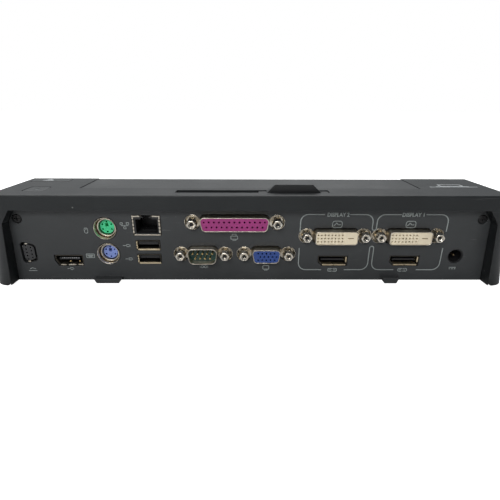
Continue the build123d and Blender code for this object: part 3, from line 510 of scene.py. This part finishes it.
def build_materials(f):
    """Every finish by name, from the finish settings."""
    dull = dict(wear=f.wear, dust=f.dust)
    made = {
        "casing": plastic("Charcoal casing", f.casing, f.rough, depth=0.16, gloss=0.34, **dull),
        # The panel's paler tone than the casing is painted light; the moulding is the same.
        "panel": plastic(
            "Charcoal panel", f.panel, f.rough + 0.03, depth=0.16, wear=0.2, dust=0.1, scuffs=0.55
        ),
        "bar": plastic("Charcoal bar", tinted(f.casing, 0.93), f.rough - 0.02, depth=0.14, **dull),
        "switch": plastic("Black switch", f.switch, 0.40, depth=0.08, wear=0.25, dust=0.05, specks=0.3),
        "button": plastic("Charcoal button", tinted(f.casing, 0.9), 0.40, depth=0.08, **dull),
        "rubber": plastic(
            "Black rubber", (0.012, 0.012, 0.013), 0.78, grain=900.0, depth=0.3, wear=0.1, dust=0.4
        ),
        "ink": plastic("Grey ink", f.ink, 0.62, grain=3200.0, depth=0.05, wear=0.0, dust=0.0, specks=0.0),
        "silver": metal("Silver mark", (0.52, 0.54, 0.55), 0.38, tarnish=0.2),
        "tin_plate": metal("Tin plate", f.tin, 0.30, tarnish=0.55),
        "warm_tin": metal("Warm tin plate", tinted(f.tin, (1.1, 1.0, 0.8)), 0.34, tarnish=0.4),
        # Tin darkened and browned as painted shade: on the power jack's pin and on the floor behind each
        # round port's cup rim.
        "aged_tin": metal("Aged tin plate", tinted(f.tin, (0.34, 0.28, 0.2)), 0.42),
        # Tin darkened to 0.13 of its tone: painted shade inside the sheet-metal sockets.
        "shaded_tin": metal("Shaded tin plate", tinted(f.tin, 0.13), 0.5),
        "nickel": metal("Nickel plate", f.nickel, 0.20, tarnish=0.35),
        "gold_pins": metal("Gold flash", f.gold, 0.24, tarnish=0.2),
        "pin_metal": metal("Plated pin", f.steel, 0.25, tarnish=0.2),
        "steel": metal("Zinc plate", f.steel, 0.34, scale=90.0, tarnish=0.2),
        "spring_steel": metal("Spring wire", tinted(f.steel, 0.7), 0.28, tarnish=0.2),
        "black_screw": metal("Black oxide", (0.05, 0.05, 0.052), 0.42, tarnish=0.3),
        "board": circuit_board("Solder resist"),
    }
    ports = {"magenta": 0.42, "teal": 0.34, "blue": 0.40, "ivory": 0.46, "green": 0.34, "violet": 0.36}
    for key, rough in ports.items():
        made[key] = plastic(
            f"{key.capitalize()} insert", getattr(f, key), rough, grain=1800.0, depth=0.04, wear=0.12,
            dust=0.1, specks=0.0, scuffs=0.1, edge=0.12
        )
    small = dict(grain=2200.0, depth=0.05, wear=0.15, dust=0.12, specks=0.2, scuffs=0.1, edge=0.2)
    parts = {
        "grey_plastic": ("Grey moulding", (0.034, 0.034, 0.036), 0.5),
        "black_plastic": ("Black moulding", (0.008, 0.008, 0.009), 0.42),
        "pin_plastic": ("Acetal pins", (0.012, 0.012, 0.013), 0.30),
        # Near-black: painted shade down the screw holes and in the round ports' gaps, and also the colour of
        # the alignment mark on top.
        "cavity": ("Dark cavity", (0.004, 0.004, 0.0045), 0.6),
        "light": ("Smoked lens", (0.09, 0.10, 0.10), 0.16),
    }
    made.update({key: plastic(*part, **small) for key, part in parts.items()})
    return made


MATERIALS = {}


# ---- formed metal -----------------------------------------------------------------------------------------
SHELL_MOUTHS = {                       # outline, then its width, height and corner radius in mm
    "parallel_port_shell": (d_outline, 38.4, 8.0, 2.2),
    "vga_port_shell": (d_outline, 16.6, 8.0, 2.2),
    "serial_port_shell": (d_outline, 17.8, 9.2, 2.8),
    "dvi_port_1_shell": (box_outline, 23.4, 7.8, 1.6),
    "dvi_port_2_shell": (box_outline, 23.4, 7.8, 1.6),
}
SCREW_REACH = {                        # half the spacing of each flange's jackscrews, in mm
    "parallel_port_shell": 23.52, "serial_port_shell": 12.495, "vga_port_shell": 12.495,
    "dvi_port_1_shell": 16.1, "dvi_port_2_shell": 16.1,
}
DIN_BACK = PANEL_FACE + 8.0 * MM
DIN_GAP = (3.97, 4.5, 4.4)             # inner radius, outer radius and depth of a floor, in mm
DIN_RIM = (5.4, 5.96, 3.4)


def pressed_shell(outline, plate_outline, front, flange, sheet, lip):
    """A drawn port shell as one closed sheet: rings run out of the tube's mouth over a rolled lip, down the
    tube, through a fillet into the flange, round its edge and back inside. Each ring is the outline moved
    along its own directions from the centre, or the flange's outline."""
    centre = outline.mean(0)
    reach = outline - centre
    scale = np.abs(reach).max(0)
    fillet, margin, back = 1.6 * MM, 0.2 * MM, flange + FLANGE_THICK

    def grown(by):
        return centre + reach * (1 + by / scale)

    rings = [
        (grown(-sheet / 2 + sheet / 2 * math.cos(t)), front + lip - lip * math.sin(t))
        for t in np.linspace(math.pi, 0, 7)
    ]
    rings += [
        (grown(fillet * (1 - math.cos(t))), flange - fillet + fillet * math.sin(t))
        for t in np.linspace(0, math.pi / 2, 6)
    ]
    rings += [(plate_outline, flange), (plate_outline, back), (grown(margin), back), (grown(-sheet), back)]
    return skin([port_side(points, y) for points, y in rings], closed=True)


def jackscrew(x, z, front, back):
    """Hexagonal standoff turned to a round nose, with a countersunk mouth and a grooved thread; rings run
    from the flange forward over the hexagon, in over the nose, and back down the hole."""
    across, corner, rim, bulge, nose = 5.5 * MM, 0.7 * MM, 2.1 * MM, 0.58 * MM, 0.6 * MM
    major, minor, mouth, pitch = 1.42 * MM, 1.12 * MM, 0.55 * MM, 0.635 * MM
    hexagon = rounded(ring(x, z, across / math.sqrt(3), 6), corner, 7)

    def turned(radius, depth):
        return onto_circle(hexagon, x, z, radius), front + depth

    layers = [(hexagon, back), (hexagon, front + 1.5 * MM), turned(across / 2 - 0.02 * MM, 0.95 * MM)]
    for k in np.linspace(0.1, 1, 6) * math.pi / 2:
        layers.append(turned(rim + bulge * math.cos(k), nose * (1 - math.sin(k))))
    layers += [turned(1.9 * MM, 0.03 * MM), turned(major, mouth)]
    for groove in mouth + pitch * np.arange(4):
        layers += [turned(minor, groove + 0.3 * pitch), turned(major, groove + 0.8 * pitch)]
    layers.append(turned(0.1 * MM, 3.6 * MM))
    return skin([port_side(points, y) for points, y in layers])


def dished_rim(x, z, away, y_out, y_in):
    """Part of a dished ring round a jackscrew: a thin sloping profile of (radius, depth), wide end out, each
    point turned about the screw as (x + r cos t, z + r sin t) through a sector on the side away from the
    shell."""
    sector, steps = 118, 40
    turns = math.pi * (0.5 - 0.5 * away) + np.radians(np.linspace(-sector, sector, steps))[:, None]
    radius = np.array([4.38, 4.38, 4.2, 3.3, 3.3]) * MM
    depth = np.array([y_out + 0.35 * MM, y_out, y_out - 0.05 * MM, y_in, y_in + 0.4 * MM])
    depths = np.broadcast_to(depth, (steps, len(radius)))
    return skin(np.stack([x + radius * np.cos(turns), depths, z + radius * np.sin(turns)], 2))


def jackscrew_places():
    """Centre and side of each jackscrew: each flange's middle, plus and minus half its screw spacing."""
    places = []
    for node, reach in SCREW_REACH.items():
        x, z = middle(node)[[0, 2]]
        places += [(x + side * reach * MM, z, side) for side in (-1, 1)]
    return places


def lathe(x, z, profile, count=48):
    """Closed turned form about an axis along Y: each (radius, y) of the profile is a circle."""
    return skin([port_side(ring(x, z, r, count), y) for r, y in profile], closed=True)


def half_turn(radius, centre_r, centre_y, steps):
    """Arc in the radius-depth plane, out, forward and in: centre plus radius times (cos, sin)."""
    return [
        (centre_r + radius * math.cos(a), centre_y + radius * math.sin(a))
        for a in np.linspace(0, -math.pi, steps)
    ]


def din_cup(x, z):
    """Round port's outer cup: thin wall with a rolled rim, turned about the port's axis."""
    inner, outer, roll, front = 5.94 * MM, 6.3 * MM, 0.18 * MM, PANEL_FACE - 0.6 * MM
    rim = half_turn(roll, outer - roll, front + roll, 7)
    return lathe(x, z, [(outer, DIN_BACK), *rim, (inner, DIN_BACK)])


def din_collar(x, z):
    """Rounded collar set back in the cup, turned about the port's axis."""
    middle_r, half, front = 4.95 * MM, 0.5 * MM, PANEL_FACE + 1.9 * MM
    crown = half_turn(half, middle_r, front + half, 11)
    return lathe(x, z, [(middle_r + half, DIN_BACK), *crown, (middle_r - half, DIN_BACK)])


def din_floor(x, z, inner, outer, depth):
    """Flat ring closing a gap of the port at a depth; sizes in mm."""
    thickness = 1.5
    near, far = PANEL_FACE + depth * MM, PANEL_FACE + (depth + thickness) * MM
    return lathe(x, z, [(outer * MM, far), (outer * MM, near), (inner * MM, near), (inner * MM, far)])


# ---- contacts and lips of the sheet-metal sockets, sizes in mm --------------------------------------------
USB_ROWS = (22.1, 13.75)               # heights of the two flat sockets' middles


def bar(x0, x1, y0, y1, z0, z1, drop=0.0):
    """Small pressed strip: a rounded X-Z outline carried in Y, its far end lowered by drop."""
    shape = box_outline((x0 + x1) / 2, (z0 + z1) / 2, x1 - x0, z1 - z0, 0.45 * min(x1 - x0, z1 - z0), 4)
    near, far = port_side(shape, y0), port_side(shape, y1)
    far[:, 2] -= drop
    return skin([near * MM, far * MM])


def socket_place(node):
    """Centre in X and Z of a node, and the panel's face."""
    x, z = middle(node)[[0, 2]] / MM
    return x, z, PANEL_FACE / MM


def display_lips(node):
    """Bright edges of a display socket: a lower lip in two halves and a strip up the right wall."""
    x, z, y = socket_place(node)
    near, far = y + 0.35, y + 4.0
    return [
        bar(x - 5.9, x + 0.55, near, far, z - 2.95, z - 2.15, 0.1),
        bar(x + 0.75, x + 7.7, near, far, z - 2.95, z - 2.15, 0.1),
        bar(x + 7.35, x + 8.1, near + 0.05, far, z - 0.9, z + 2.4),
    ]


def combo_fingers(node):
    """Bright lower fingers, a row of contacts on the tongue and two small latches of the combined socket."""
    x, z, y = socket_place(node)
    runs, pitch, contact = ((-5.2, -2.2), (-0.9, 3.5), (4.8, 7.7)), 1.15, 0.75
    lips = [bar(x + a, x + b, y + 0.3, y + 3.0, z - 3.1, z - 2.35) for a, b in runs]
    row = [
        bar(x + k, x + k + contact, y + 1.1, y + 4.0, z + 0.95, z + 1.35) for k in np.arange(-4.4, 5.0, pitch)
    ]
    latches = [bar(x + k, x + k + 1.0, y + 1.6, y + 3.0, z - 1.35, z - 0.75) for k in (-0.6, 4.7)]
    return lips, row, latches


def usb_lips(x, z, y):
    """Bright lower lip and sprung left wall of a flat socket."""
    near, far, spring = y - 0.5, y + 1.0, 1.3
    walls = [bar(x - 6.6, x - 5.85, near, far, z + a, z + a + spring) for a in (-1.9, -0.4, 1.15)]
    return [bar(x - 5.9, x + 6.5, near, far, z - 2.85, z - 1.95), *walls]


def network_edges(node):
    """Bright edges of the network can: upper runs beside the notch, sprung sides and the lower edge."""
    x, z, y = socket_place(node)
    near, far, spring = y - 0.45, y + 1.0, 1.6
    side = near + 0.03
    edges = [bar(x + a, x + b, near, far, z + 5.05, z + 5.65) for a, b in ((-7.7, -3.4), (3.4, 7.7))]
    edges += [bar(x - 7.2, x + 7.4, near, far, z - 5.65, z - 5.1)]
    for k in (-4.4, -2.35, -0.3, 1.75):
        edges += [bar(x - 7.65, x - 7.0, side, far, z + k, z + k + spring)]
        edges += [bar(x + 6.75, x + 7.55, side, far, z + k + 0.2, z + k + 0.2 + spring)]
    edges += [bar(x + a, x + a + 0.62, side, far, z + 3.75, z + 5.0) for a in (-7.65, 6.95)]
    return edges


# ---- printed marks ----------------------------------------------------------------------------------------
def loop(x, z, width, height, radius):
    """A closed rounded rectangle of a sign."""
    return box_outline(x, z, width, height, radius, 5), True


def trace(*points):
    """An open line of a sign."""
    return points, False


SIGNS = {                              # each sign about its own centre, in mm at size 1
    # a display on a foot
    "screen": [loop(0, 0.3, 4.6, 3.0, 0.6), trace((-1.2, -2.0), (1.2, -2.0))],
    # a soft-cornered screen with a signal line across it
    "digital": [loop(0, 0, 5.4, 3.8, 1.3), trace((-1.9, -0.9), (-0.5, 0.8), (0.5, -0.2), (1.9, -0.2))],
    # two overlapping rounded screens, each with a line across it
    "twin": [
        part for dx in (-1.35, 1.35)
        for part in (loop(dx, 0, 2.7, 1.9, 0.7), trace((dx - 0.7, 0), (dx + 0.7, 0)))
    ],
    # a mouse with the line between its buttons
    "mouse": [loop(0, 0, 2.2, 3.6, 1.05), trace((0, 0.4), (0, 1.7))],
    # a keyboard with two rows and a space bar
    "keyboard": [
        loop(0, 0, 4.8, 2.4, 0.25), trace((-1.8, 0.45), (1.8, 0.45)), trace((-1.8, -0.1), (1.8, -0.1)),
        trace((-1.0, -0.65), (1.0, -0.65)),
    ],
    # three small boxes on a branching line
    "network": [
        *[loop(dx, dz, 1.1, 1.0, 0.08) for dx, dz in ((-1.5, 0.9), (1.5, 0.9), (0, -1.2))],
        trace((-1.5, 0.4), (-1.5, -0.1), (1.5, -0.1), (1.5, 0.4)),
    ],
    # a flat plug on a short lead
    "plug": [
        loop(1.2, 0, 2.0, 1.5, 0.15), trace((-2.2, 0), (0.1, 0)), trace((2.2, 0.4), (2.9, 0.4)),
        trace((2.2, -0.4), (2.9, -0.4)),
    ],
    # a printer with its sheet above and below
    "printer": [
        loop(0, -0.2, 4.2, 2.0, 0.3), trace((-1.2, 0.9), (-1.2, 2.1), (1.2, 2.1), (1.2, 0.9)),
        trace((-1.0, -1.2), (-1.0, -1.9), (1.0, -1.9), (1.0, -1.2)),
    ],
    # bars and rings of a serial line
    "serial": [
        *[loop(dx, 0, 1.1, 1.5, 0.5) for dx in (-1.0, 1.0)],
        *[trace((dx, -0.75), (dx, 0.75)) for dx in (-2.3, 0, 2.3)],
    ],
    # a line over three dashes
    "direct_current": [
        trace((-2.0, 0.45), (2.0, 0.45)),
        *[trace((dx - 0.45, -0.45), (dx + 0.45, -0.45)) for dx in (-1.5, 0, 1.5)],
    ],
    # a raised shelf on a low base
    "stand": [trace((-2.4, -1.0), (2.4, -1.0)), trace((-1.6, -0.1), (-0.2, 0.8), (1.8, 0.1))],
    # a box over two lines
    "shelf": [loop(0, 4.4, 13, 4.6, 0.8), trace((-14, 0), (14, 0)), trace((-9.5, 1.2), (9.5, 1.2))],
}
PANEL_SIGNS = [                        # sign, x, z and size in mm
    ("digital", 48.2, 34.6, 1.0), ("digital", 89.2, 34.6, 1.0), ("twin", 47.6, 6.9, 0.95),
    ("twin", 88.6, 6.9, 0.95), ("printer", -9.2, 26.9, 0.9), ("serial", -27.0, 8.9, 0.95),
    ("screen", 8.9, 8.2, 0.75), ("network", -69.9, 33.8, 1.15), ("plug", -70.4, 21.9, 0.85),
    ("plug", -70.0, 13.7, 0.85), ("mouse", -91.7, 30.8, 0.85), ("keyboard", -91.6, 15.6, 0.95),
    ("stand", -126.2, 7.3, 1.0), ("plug", -104.4, 7.6, 0.75), ("direct_current", 117.6, 8.1, 1.0),
]
PANEL_WORDS = [("DISPLAY 2", 48.3), ("DISPLAY 1", 89.9)]    # word and x in mm
WORD_Z, WORD_WIDTH = 39.0 * MM, 12.2 * MM
FRAME_SIDES = (27.7 * MM, 109.7 * MM)  # outer sides of the two joined frames
FRAME_LEVELS = (7.0 * MM, 40.3 * MM)   # their lower and upper lines
FRAME_MIDDLE, FRAME_HALF_GAP = 69.05 * MM, 1.15 * MM
SCREW_GAP = (20.5 * MM, 32.3 * MM)     # a side's lower run stops and its upper run starts round a jackscrew
OUTER_GAP = (20.5 * MM, 30.4 * MM)


def arc_path(x, z, radius, start, end, steps=7):
    """Arc in degrees: (x + r cos t, z + r sin t)."""
    a = np.radians(np.linspace(start, end, steps))
    return np.stack([x + radius * np.cos(a), z + radius * np.sin(a)], 1)


def on_panel(points, height):
    """X-Z points at a height off the port panel."""
    return port_side(points, PANEL_FACE - height)


def on_level(level):
    """A place for X-Y points at a height over a level."""
    return lambda points, height: table_up(points, level + height)


def frame_paths(sides, left_gap, right_gap):
    """Four runs of a printed frame round two ports, open beside the jackscrews, at the word above and at the
    sign below; each gap gives the heights where that side's lower run stops and its upper run starts."""
    (left, right), (low, high) = sides, FRAME_LEVELS
    centre, r, word, foot = (left + right) / 2, 4.2 * MM, 6.9 * MM, 6.6 * MM
    top_left = [(left, left_gap[1]), *arc_path(left + r, high - r, r, 180, 90), (centre - word, high)]
    top_right = [(centre + word, high), *arc_path(right - r, high - r, r, 90, 0), (right, right_gap[1])]
    low_left = [(left, left_gap[0]), *arc_path(left + r, low + r, r, 180, 270), (centre - foot, low)]
    low_right = [(centre + foot, low), *arc_path(right - r, low + r, r, -90, 0), (right, right_gap[0])]
    return [top_left, top_right, low_left, low_right]


def sign(name, x, z, size=1.0):
    """Paths of a sign: each point times the size, plus the place; x, z and size in mm."""
    return [((np.array(points) * size + (x, z)) * MM, closed) for points, closed in SIGNS[name]]


def ribbons(paths, width, place, ink):
    """Printed ink along each (points, closed) path."""
    return [stroke(points, width, place, -INK_SUNK, ink, closed) for points, closed in paths]


def arrow(x, y, half, below, above, radius, level):
    """Thin triangle pointing to +Y on a level, from y - below to y + above."""
    corners = [(x - half, y - below), (x + half, y - below), (x, y + above)]
    return plate(rounded(corners, radius, 4), on_level(level), -INK_SUNK, 0.03 * MM)


def printed_word(text, x, z, width, height, ink):
    """A word as ink: the font's outline made a thin mesh, scaled to the width and height about (x, z) and
    set on the panel, its front points at the ink's height and its back points under the face."""
    curve = bpy.data.curves.new("word", "FONT")
    curve.body = text
    curve.align_x = "CENTER"
    curve.extrude = 0.01
    curve.offset = 0.045                # thickens the letters
    curve.resolution_u = 3
    holder = bpy.data.objects.new("word", curve)
    mesh = bpy.data.meshes.new_from_object(holder)
    co = np.zeros(len(mesh.vertices) * 3)
    mesh.vertices.foreach_get("co", co)
    across, up, out = co.reshape(-1, 3).T
    faces = [tuple(p.vertices) for p in mesh.polygons]
    flat = np.stack([x + across / np.ptp(across) * width, z + (up - up.min()) / np.ptp(up) * height], 1)
    verts = port_side(flat, PANEL_FACE)
    verts[:, 1] += np.where(out > 0, -ink, INK_SUNK)
    bpy.data.objects.remove(holder)
    bpy.data.curves.remove(curve)
    bpy.data.meshes.remove(mesh)
    if volume(verts, faces) < 0:
        faces = [f[::-1] for f in faces]
    return verts, faces


# ---- operators --------------------------------------------------------------------------------------------
class DOCK_OT_finishes(bpy.types.Operator):
    """Makes every finish and puts it on the frame's own nodes"""
    bl_idname = "dock.finishes"
    bl_label = "Finishes"

    def execute(self, context):
        MATERIALS.update(build_materials(context.scene.dock_finish))
        finishes = {row["node"]: row["material_slot"] for row in frame["record"]["subparts"]}
        # The power jack's pin takes the darkened tin as painted shade, in place of a bright glint on its tip.
        finishes.update(stand_connector="grey_plastic", power_jack_pin="aged_tin")
        # The sockets' cans take the darkened tin as painted shade of their inner walls.
        for socket in ("network_jack", "usb_stack", "display_port_1", "display_port_2", "combo_port"):
            finishes[f"{socket}_shell"] = "shaded_tin"
        for node, thing in frame["nodes"].items():
            for holder in thing.material_slots:
                holder.material = MATERIALS[finishes[node]]
        return {"FINISHED"}


class DOCK_OT_port_shells(bpy.types.Operator):
    """Forms the pressed metal shells of the screw-fixed ports"""
    bl_idname = "dock.port_shells"
    bl_label = "Port shells"

    def execute(self, context):
        d = context.scene.dock_detail
        for node, (shape, width, height, radius) in SHELL_MOUTHS.items():
            low, high = span(node)
            x, z = middle(node)[[0, 2]]
            outline = shape(x, z, width * MM, height * MM, radius * MM)
            flange = box_outline(x, z, high[0] - low[0], high[2] - low[2], 1.2 * MM)
            shell = pressed_shell(outline, flange, low[1], FLANGE_FACE, d.sheet, d.lip)
            name = node.replace("_shell", "_sheet")
            make_piece(name, [shell], "tin_plate", stands_for=(node,))
        return {"FINISHED"}


class DOCK_OT_jackscrews(bpy.types.Operator):
    """Turns the ten jackscrews with their threads and rounded noses"""
    bl_idname = "dock.jackscrews"
    bl_label = "Jackscrews"

    def execute(self, context):
        places = jackscrew_places()
        shells = [jackscrew(x, z, SCREW_FRONT, FLANGE_FACE) for x, z, _ in places]
        make_piece("jackscrew_standoffs", shells, "nickel", stands_for=("jackscrews",), sharp=28)
        # A near-black disc down each screw's hole is painted shade.
        hole, near, far = 1.1 * MM, SCREW_FRONT + 1.3 * MM, SCREW_FRONT + 1.6 * MM
        shade_discs = [plate(ring(x, z, hole, 20), port_side, near, far) for x, z, _ in places]
        make_piece("jackscrew_bores", shade_discs, "cavity")
        y_out, y_in = PANEL_FACE + 0.15 * MM, FLANGE_FACE - 0.35 * MM
        rims = [dished_rim(x, z, side, y_out, y_in) for x, z, side in places]
        make_piece("jackscrew_dishes", rims, "nickel")
        return {"FINISHED"}


class DOCK_OT_round_ports(bpy.types.Operator):
    """Makes the two round ports' cups and collars, with dark rings deep in them as painted shade"""
    bl_idname = "dock.round_ports"
    bl_label = "Round ports"

    def execute(self, context):
        for name in ("mouse_port", "keyboard_port"):
            x, z = middle(f"{name}_insert")[[0, 2]]
            formed = [din_cup(x, z), din_collar(x, z)]
            make_piece(f"{name}_cup", formed, "tin_plate", stands_for=(f"{name}_shell",))
            # The near-black ring in the gap round the disc is painted shade.
            make_piece(f"{name}_gap", [din_floor(x, z, *DIN_GAP)], "cavity")
            # The darkened tin ring behind the cup's rim is painted shade of the cup's inner wall.
            make_piece(f"{name}_rim_floor", [din_floor(x, z, *DIN_RIM)], "aged_tin")
        return {"FINISHED"}


class DOCK_OT_socket_lips(bpy.types.Operator):
    """Adds the bright lips, fingers and contacts of the sheet-metal sockets"""
    bl_idname = "dock.socket_lips"
    bl_label = "Socket lips"

    def execute(self, context):
        for name in ("display_port_1", "display_port_2"):
            make_piece(f"{name}_lips", display_lips(f"{name}_shell"), "warm_tin")
        lips, row, latches = combo_fingers("combo_port_shell")
        make_piece("combo_port_lips", lips, "tin_plate")
        make_piece("combo_port_contacts", row, "pin_metal")
        make_piece("combo_port_latches", latches, "gold_pins")
        x, _, y = socket_place("usb_stack_tongues")
        shells = [lip for z in USB_ROWS for lip in usb_lips(x, z, y)]
        make_piece("usb_stack_lips", shells, "warm_tin")
        make_piece("network_jack_edges", network_edges("network_jack_shell"), "tin_plate")
        return {"FINISHED"}


class DOCK_OT_panel_print(bpy.types.Operator):
    """Prints the frames, words and signs on the port panel"""
    bl_idname = "dock.panel_print"
    bl_label = "Panel print"

    def execute(self, context):
        d = context.scene.dock_detail
        left, right, mid, half = *FRAME_SIDES, FRAME_MIDDLE, FRAME_HALF_GAP
        runs = frame_paths((left, mid - half), OUTER_GAP, SCREW_GAP)
        runs += frame_paths((mid + half, right), SCREW_GAP, OUTER_GAP)
        runs += [arc_path(mid, SCREW_GAP[1], half, 180, 360), arc_path(mid, SCREW_GAP[0], half, 180, 0)]
        frames = ribbons([(points, False) for points in runs], d.line, on_panel, d.ink)
        make_piece("printed_frames", frames, "ink")
        words = [printed_word(text, x * MM, WORD_Z, WORD_WIDTH, d.label, d.ink) for text, x in PANEL_WORDS]
        make_piece("printed_words", words, "ink")
        paths = [path for row in PANEL_SIGNS for path in sign(*row)]
        make_piece("printed_marks", ribbons(paths, d.sign_line, on_panel, d.ink), "ink")
        return {"FINISHED"}


class DOCK_OT_top_marks(bpy.types.Operator):
    """Adds the silver mark, the eject sign and the alignment mark on top"""
    bl_idname = "dock.top_marks"
    bl_label = "Top marks"

    def execute(self, context):
        line, ink = 1.1 * MM, 0.04 * MM
        shelf = ribbons(sign("shelf", 118.5, -57.6), line, on_level(TOP_Z), ink)
        make_piece("silver_mark", shelf, "silver")
        x, y = middle("eject_button")[:2]
        x -= 1.5 * MM
        level = span("eject_button")[1][2]
        underline = box_outline(x, y - 1.5 * MM, 6.4 * MM, 0.9 * MM, 0.2 * MM, 4)
        signs = [
            arrow(x, y, 3.2 * MM, 0.4 * MM, 2.3 * MM, 0.25 * MM, level),
            plate(underline, on_level(level), -INK_SUNK, 0.03 * MM),
        ]
        make_piece("eject_sign", signs, "silver", "eject_button")
        _, front, level = span("battery_bar")[1]
        mark = arrow(0, front - 2.6 * MM, 1.6 * MM, 1.2 * MM, 0.8 * MM, 0.15 * MM, level)
        make_piece("alignment_mark", [mark], "cavity", "battery_bar")
        return {"FINISHED"}


class DOCK_OT_stage(bpy.types.Operator):
    """Sets the pale floor, the soft light and the camera"""
    bl_idname = "dock.stage"
    bl_label = "Stage"

    def execute(self, context):
        scene = context.scene
        s = scene.dock_stage
        scene.view_settings.view_transform = "Standard"
        add_floor()
        add_world(scene)
        add_soft_light("overhead", (-0.15, 0.45, 0.95), (1.3, 0.8), s.key, (0.0, 0.0, 0.0))
        add_soft_light("front", (-0.25, -1.0, 0.7), (0.8, 0.35), s.fill, (0.0, -0.07, 0.02))
        camera = bpy.data.objects.new("camera", bpy.data.cameras.new("camera"))
        scene.collection.objects.link(camera)
        camera.data.sensor_width = 36.0
        camera.data.sensor_fit = "HORIZONTAL"
        camera.data.lens = s.lens
        camera.data.clip_start = 0.01
        level = math.cos(s.pitch)
        ahead = (math.sin(s.yaw) * level, math.cos(s.yaw) * level, -math.sin(s.pitch))
        camera.matrix_world = facing(ahead, s.place, s.roll)
        scene.camera = camera
        return {"FINISHED"}


def facing(ahead, place, roll=0.0):
    """Matrix of something at a place that looks along a direction, rolled about it."""
    ahead = np.array(ahead, float)
    ahead /= np.linalg.norm(ahead)
    right = np.cross(ahead, (0, 0, 1))
    right /= np.linalg.norm(right)
    up = np.cross(right, ahead)
    matrix = np.eye(4)
    matrix[:3, 0] = right * math.cos(roll) + up * math.sin(roll)
    matrix[:3, 1] = up * math.cos(roll) - right * math.sin(roll)
    matrix[:3, 2] = -ahead
    matrix[:3, 3] = place
    return Matrix(matrix.tolist())


def add_floor():
    """A wide disc just under the feet: grey to the light, and near white to look at."""
    radius, drop, count = 6.0, 0.05 * MM, 64
    mesh = bpy.data.meshes.new("floor")
    mesh.from_pydata(table_up(ring(0, 0, radius, count), -drop).tolist(), [], [tuple(range(count))])
    material, t, shader = start_material("Pale floor")
    shader.inputs["Base Color"].default_value = (0.68, 0.68, 0.68, 1)
    shader.inputs["Roughness"].default_value = 0.9
    shader.inputs["Specular IOR Level"].default_value = 0.0
    shader.inputs["Emission Strength"].default_value = 1.0
    seen = t.add("ShaderNodeLightPath").outputs["Is Camera Ray"]
    t.feed(shader, "Emission Color", t.blend(seen, (0, 0, 0, 1), (0.96, 0.96, 0.96, 1)))
    mesh.materials.append(material)
    floor = bpy.data.objects.new("floor", mesh)
    bpy.context.scene.collection.objects.link(floor)


def add_world(scene):
    """White surroundings to look at; their light is pale behind the dock and dimmer on the port side."""
    world = bpy.data.worlds.new("studio")
    world.use_nodes = True
    scene.world = world
    t = Tree(world.node_tree)
    shade = world.node_tree.nodes["Background"]
    toward = t.add("ShaderNodeSeparateXYZ", {0: t.add("ShaderNodeTexCoord").outputs["Generated"]})
    back = t.band(toward.outputs[1], -0.2, 0.9)
    room = t.blend(back, (0.10, 0.107, 0.115, 1), (0.42, 0.44, 0.45, 1))
    seen = t.add("ShaderNodeLightPath").outputs["Is Camera Ray"]
    t.feed(shade, "Color", t.blend(seen, room, (1, 1, 1, 1)))


def add_soft_light(name, place, size, watts, aim):
    """A rectangular area light at a place, aimed at a point."""
    light = bpy.data.lights.new(name, "AREA")
    light.shape = "RECTANGLE"
    light.size, light.size_y = size
    light.energy = watts
    holder = bpy.data.objects.new(name, light)
    bpy.context.scene.collection.objects.link(holder)
    holder.matrix_world = facing(np.subtract(aim, place), place)


class DOCK_PT_panel(bpy.types.Panel):
    """Lists the dock's operators and settings"""
    bl_idname = "DOCK_PT_panel"
    bl_label = "Docking station"
    bl_space_type = "VIEW_3D"
    bl_region_type = "UI"
    bl_category = "Dock"

    def draw(self, context):
        for operator in OPERATORS:
            self.layout.operator(operator.bl_idname)
        for setting in SETTINGS:
            group = getattr(context.scene, setting)
            column = self.layout.column()
            for key in group.__annotations__:
                column.prop(group, key)


SETTINGS = {
    "dock_finish": DockFinishSettings, "dock_detail": DockDetailSettings, "dock_stage": DockStageSettings
}
OPERATORS = [
    DOCK_OT_finishes, DOCK_OT_port_shells, DOCK_OT_jackscrews, DOCK_OT_round_ports, DOCK_OT_socket_lips,
    DOCK_OT_panel_print, DOCK_OT_top_marks, DOCK_OT_stage,
]


def register():
    """Registers the classes and their settings."""
    for group in (*SETTINGS.values(), *OPERATORS, DOCK_PT_panel):
        bpy.utils.register_class(group)
    for key, group in SETTINGS.items():
        setattr(bpy.types.Scene, key, bpy.props.PointerProperty(type=group))


def unregister():
    """Takes the settings and classes away again."""
    for key in SETTINGS:
        delattr(bpy.types.Scene, key)
    for group in (DOCK_PT_panel, *reversed(OPERATORS), *reversed(list(SETTINGS.values()))):
        bpy.utils.unregister_class(group)


def main():
    """Runs every operator in order."""
    register()
    for operator in OPERATORS:
        family, name = operator.bl_idname.split(".")
        getattr(getattr(bpy.ops, family), name)()
    bpy.context.view_layer.update()


if __name__ == "__main__":
    main()
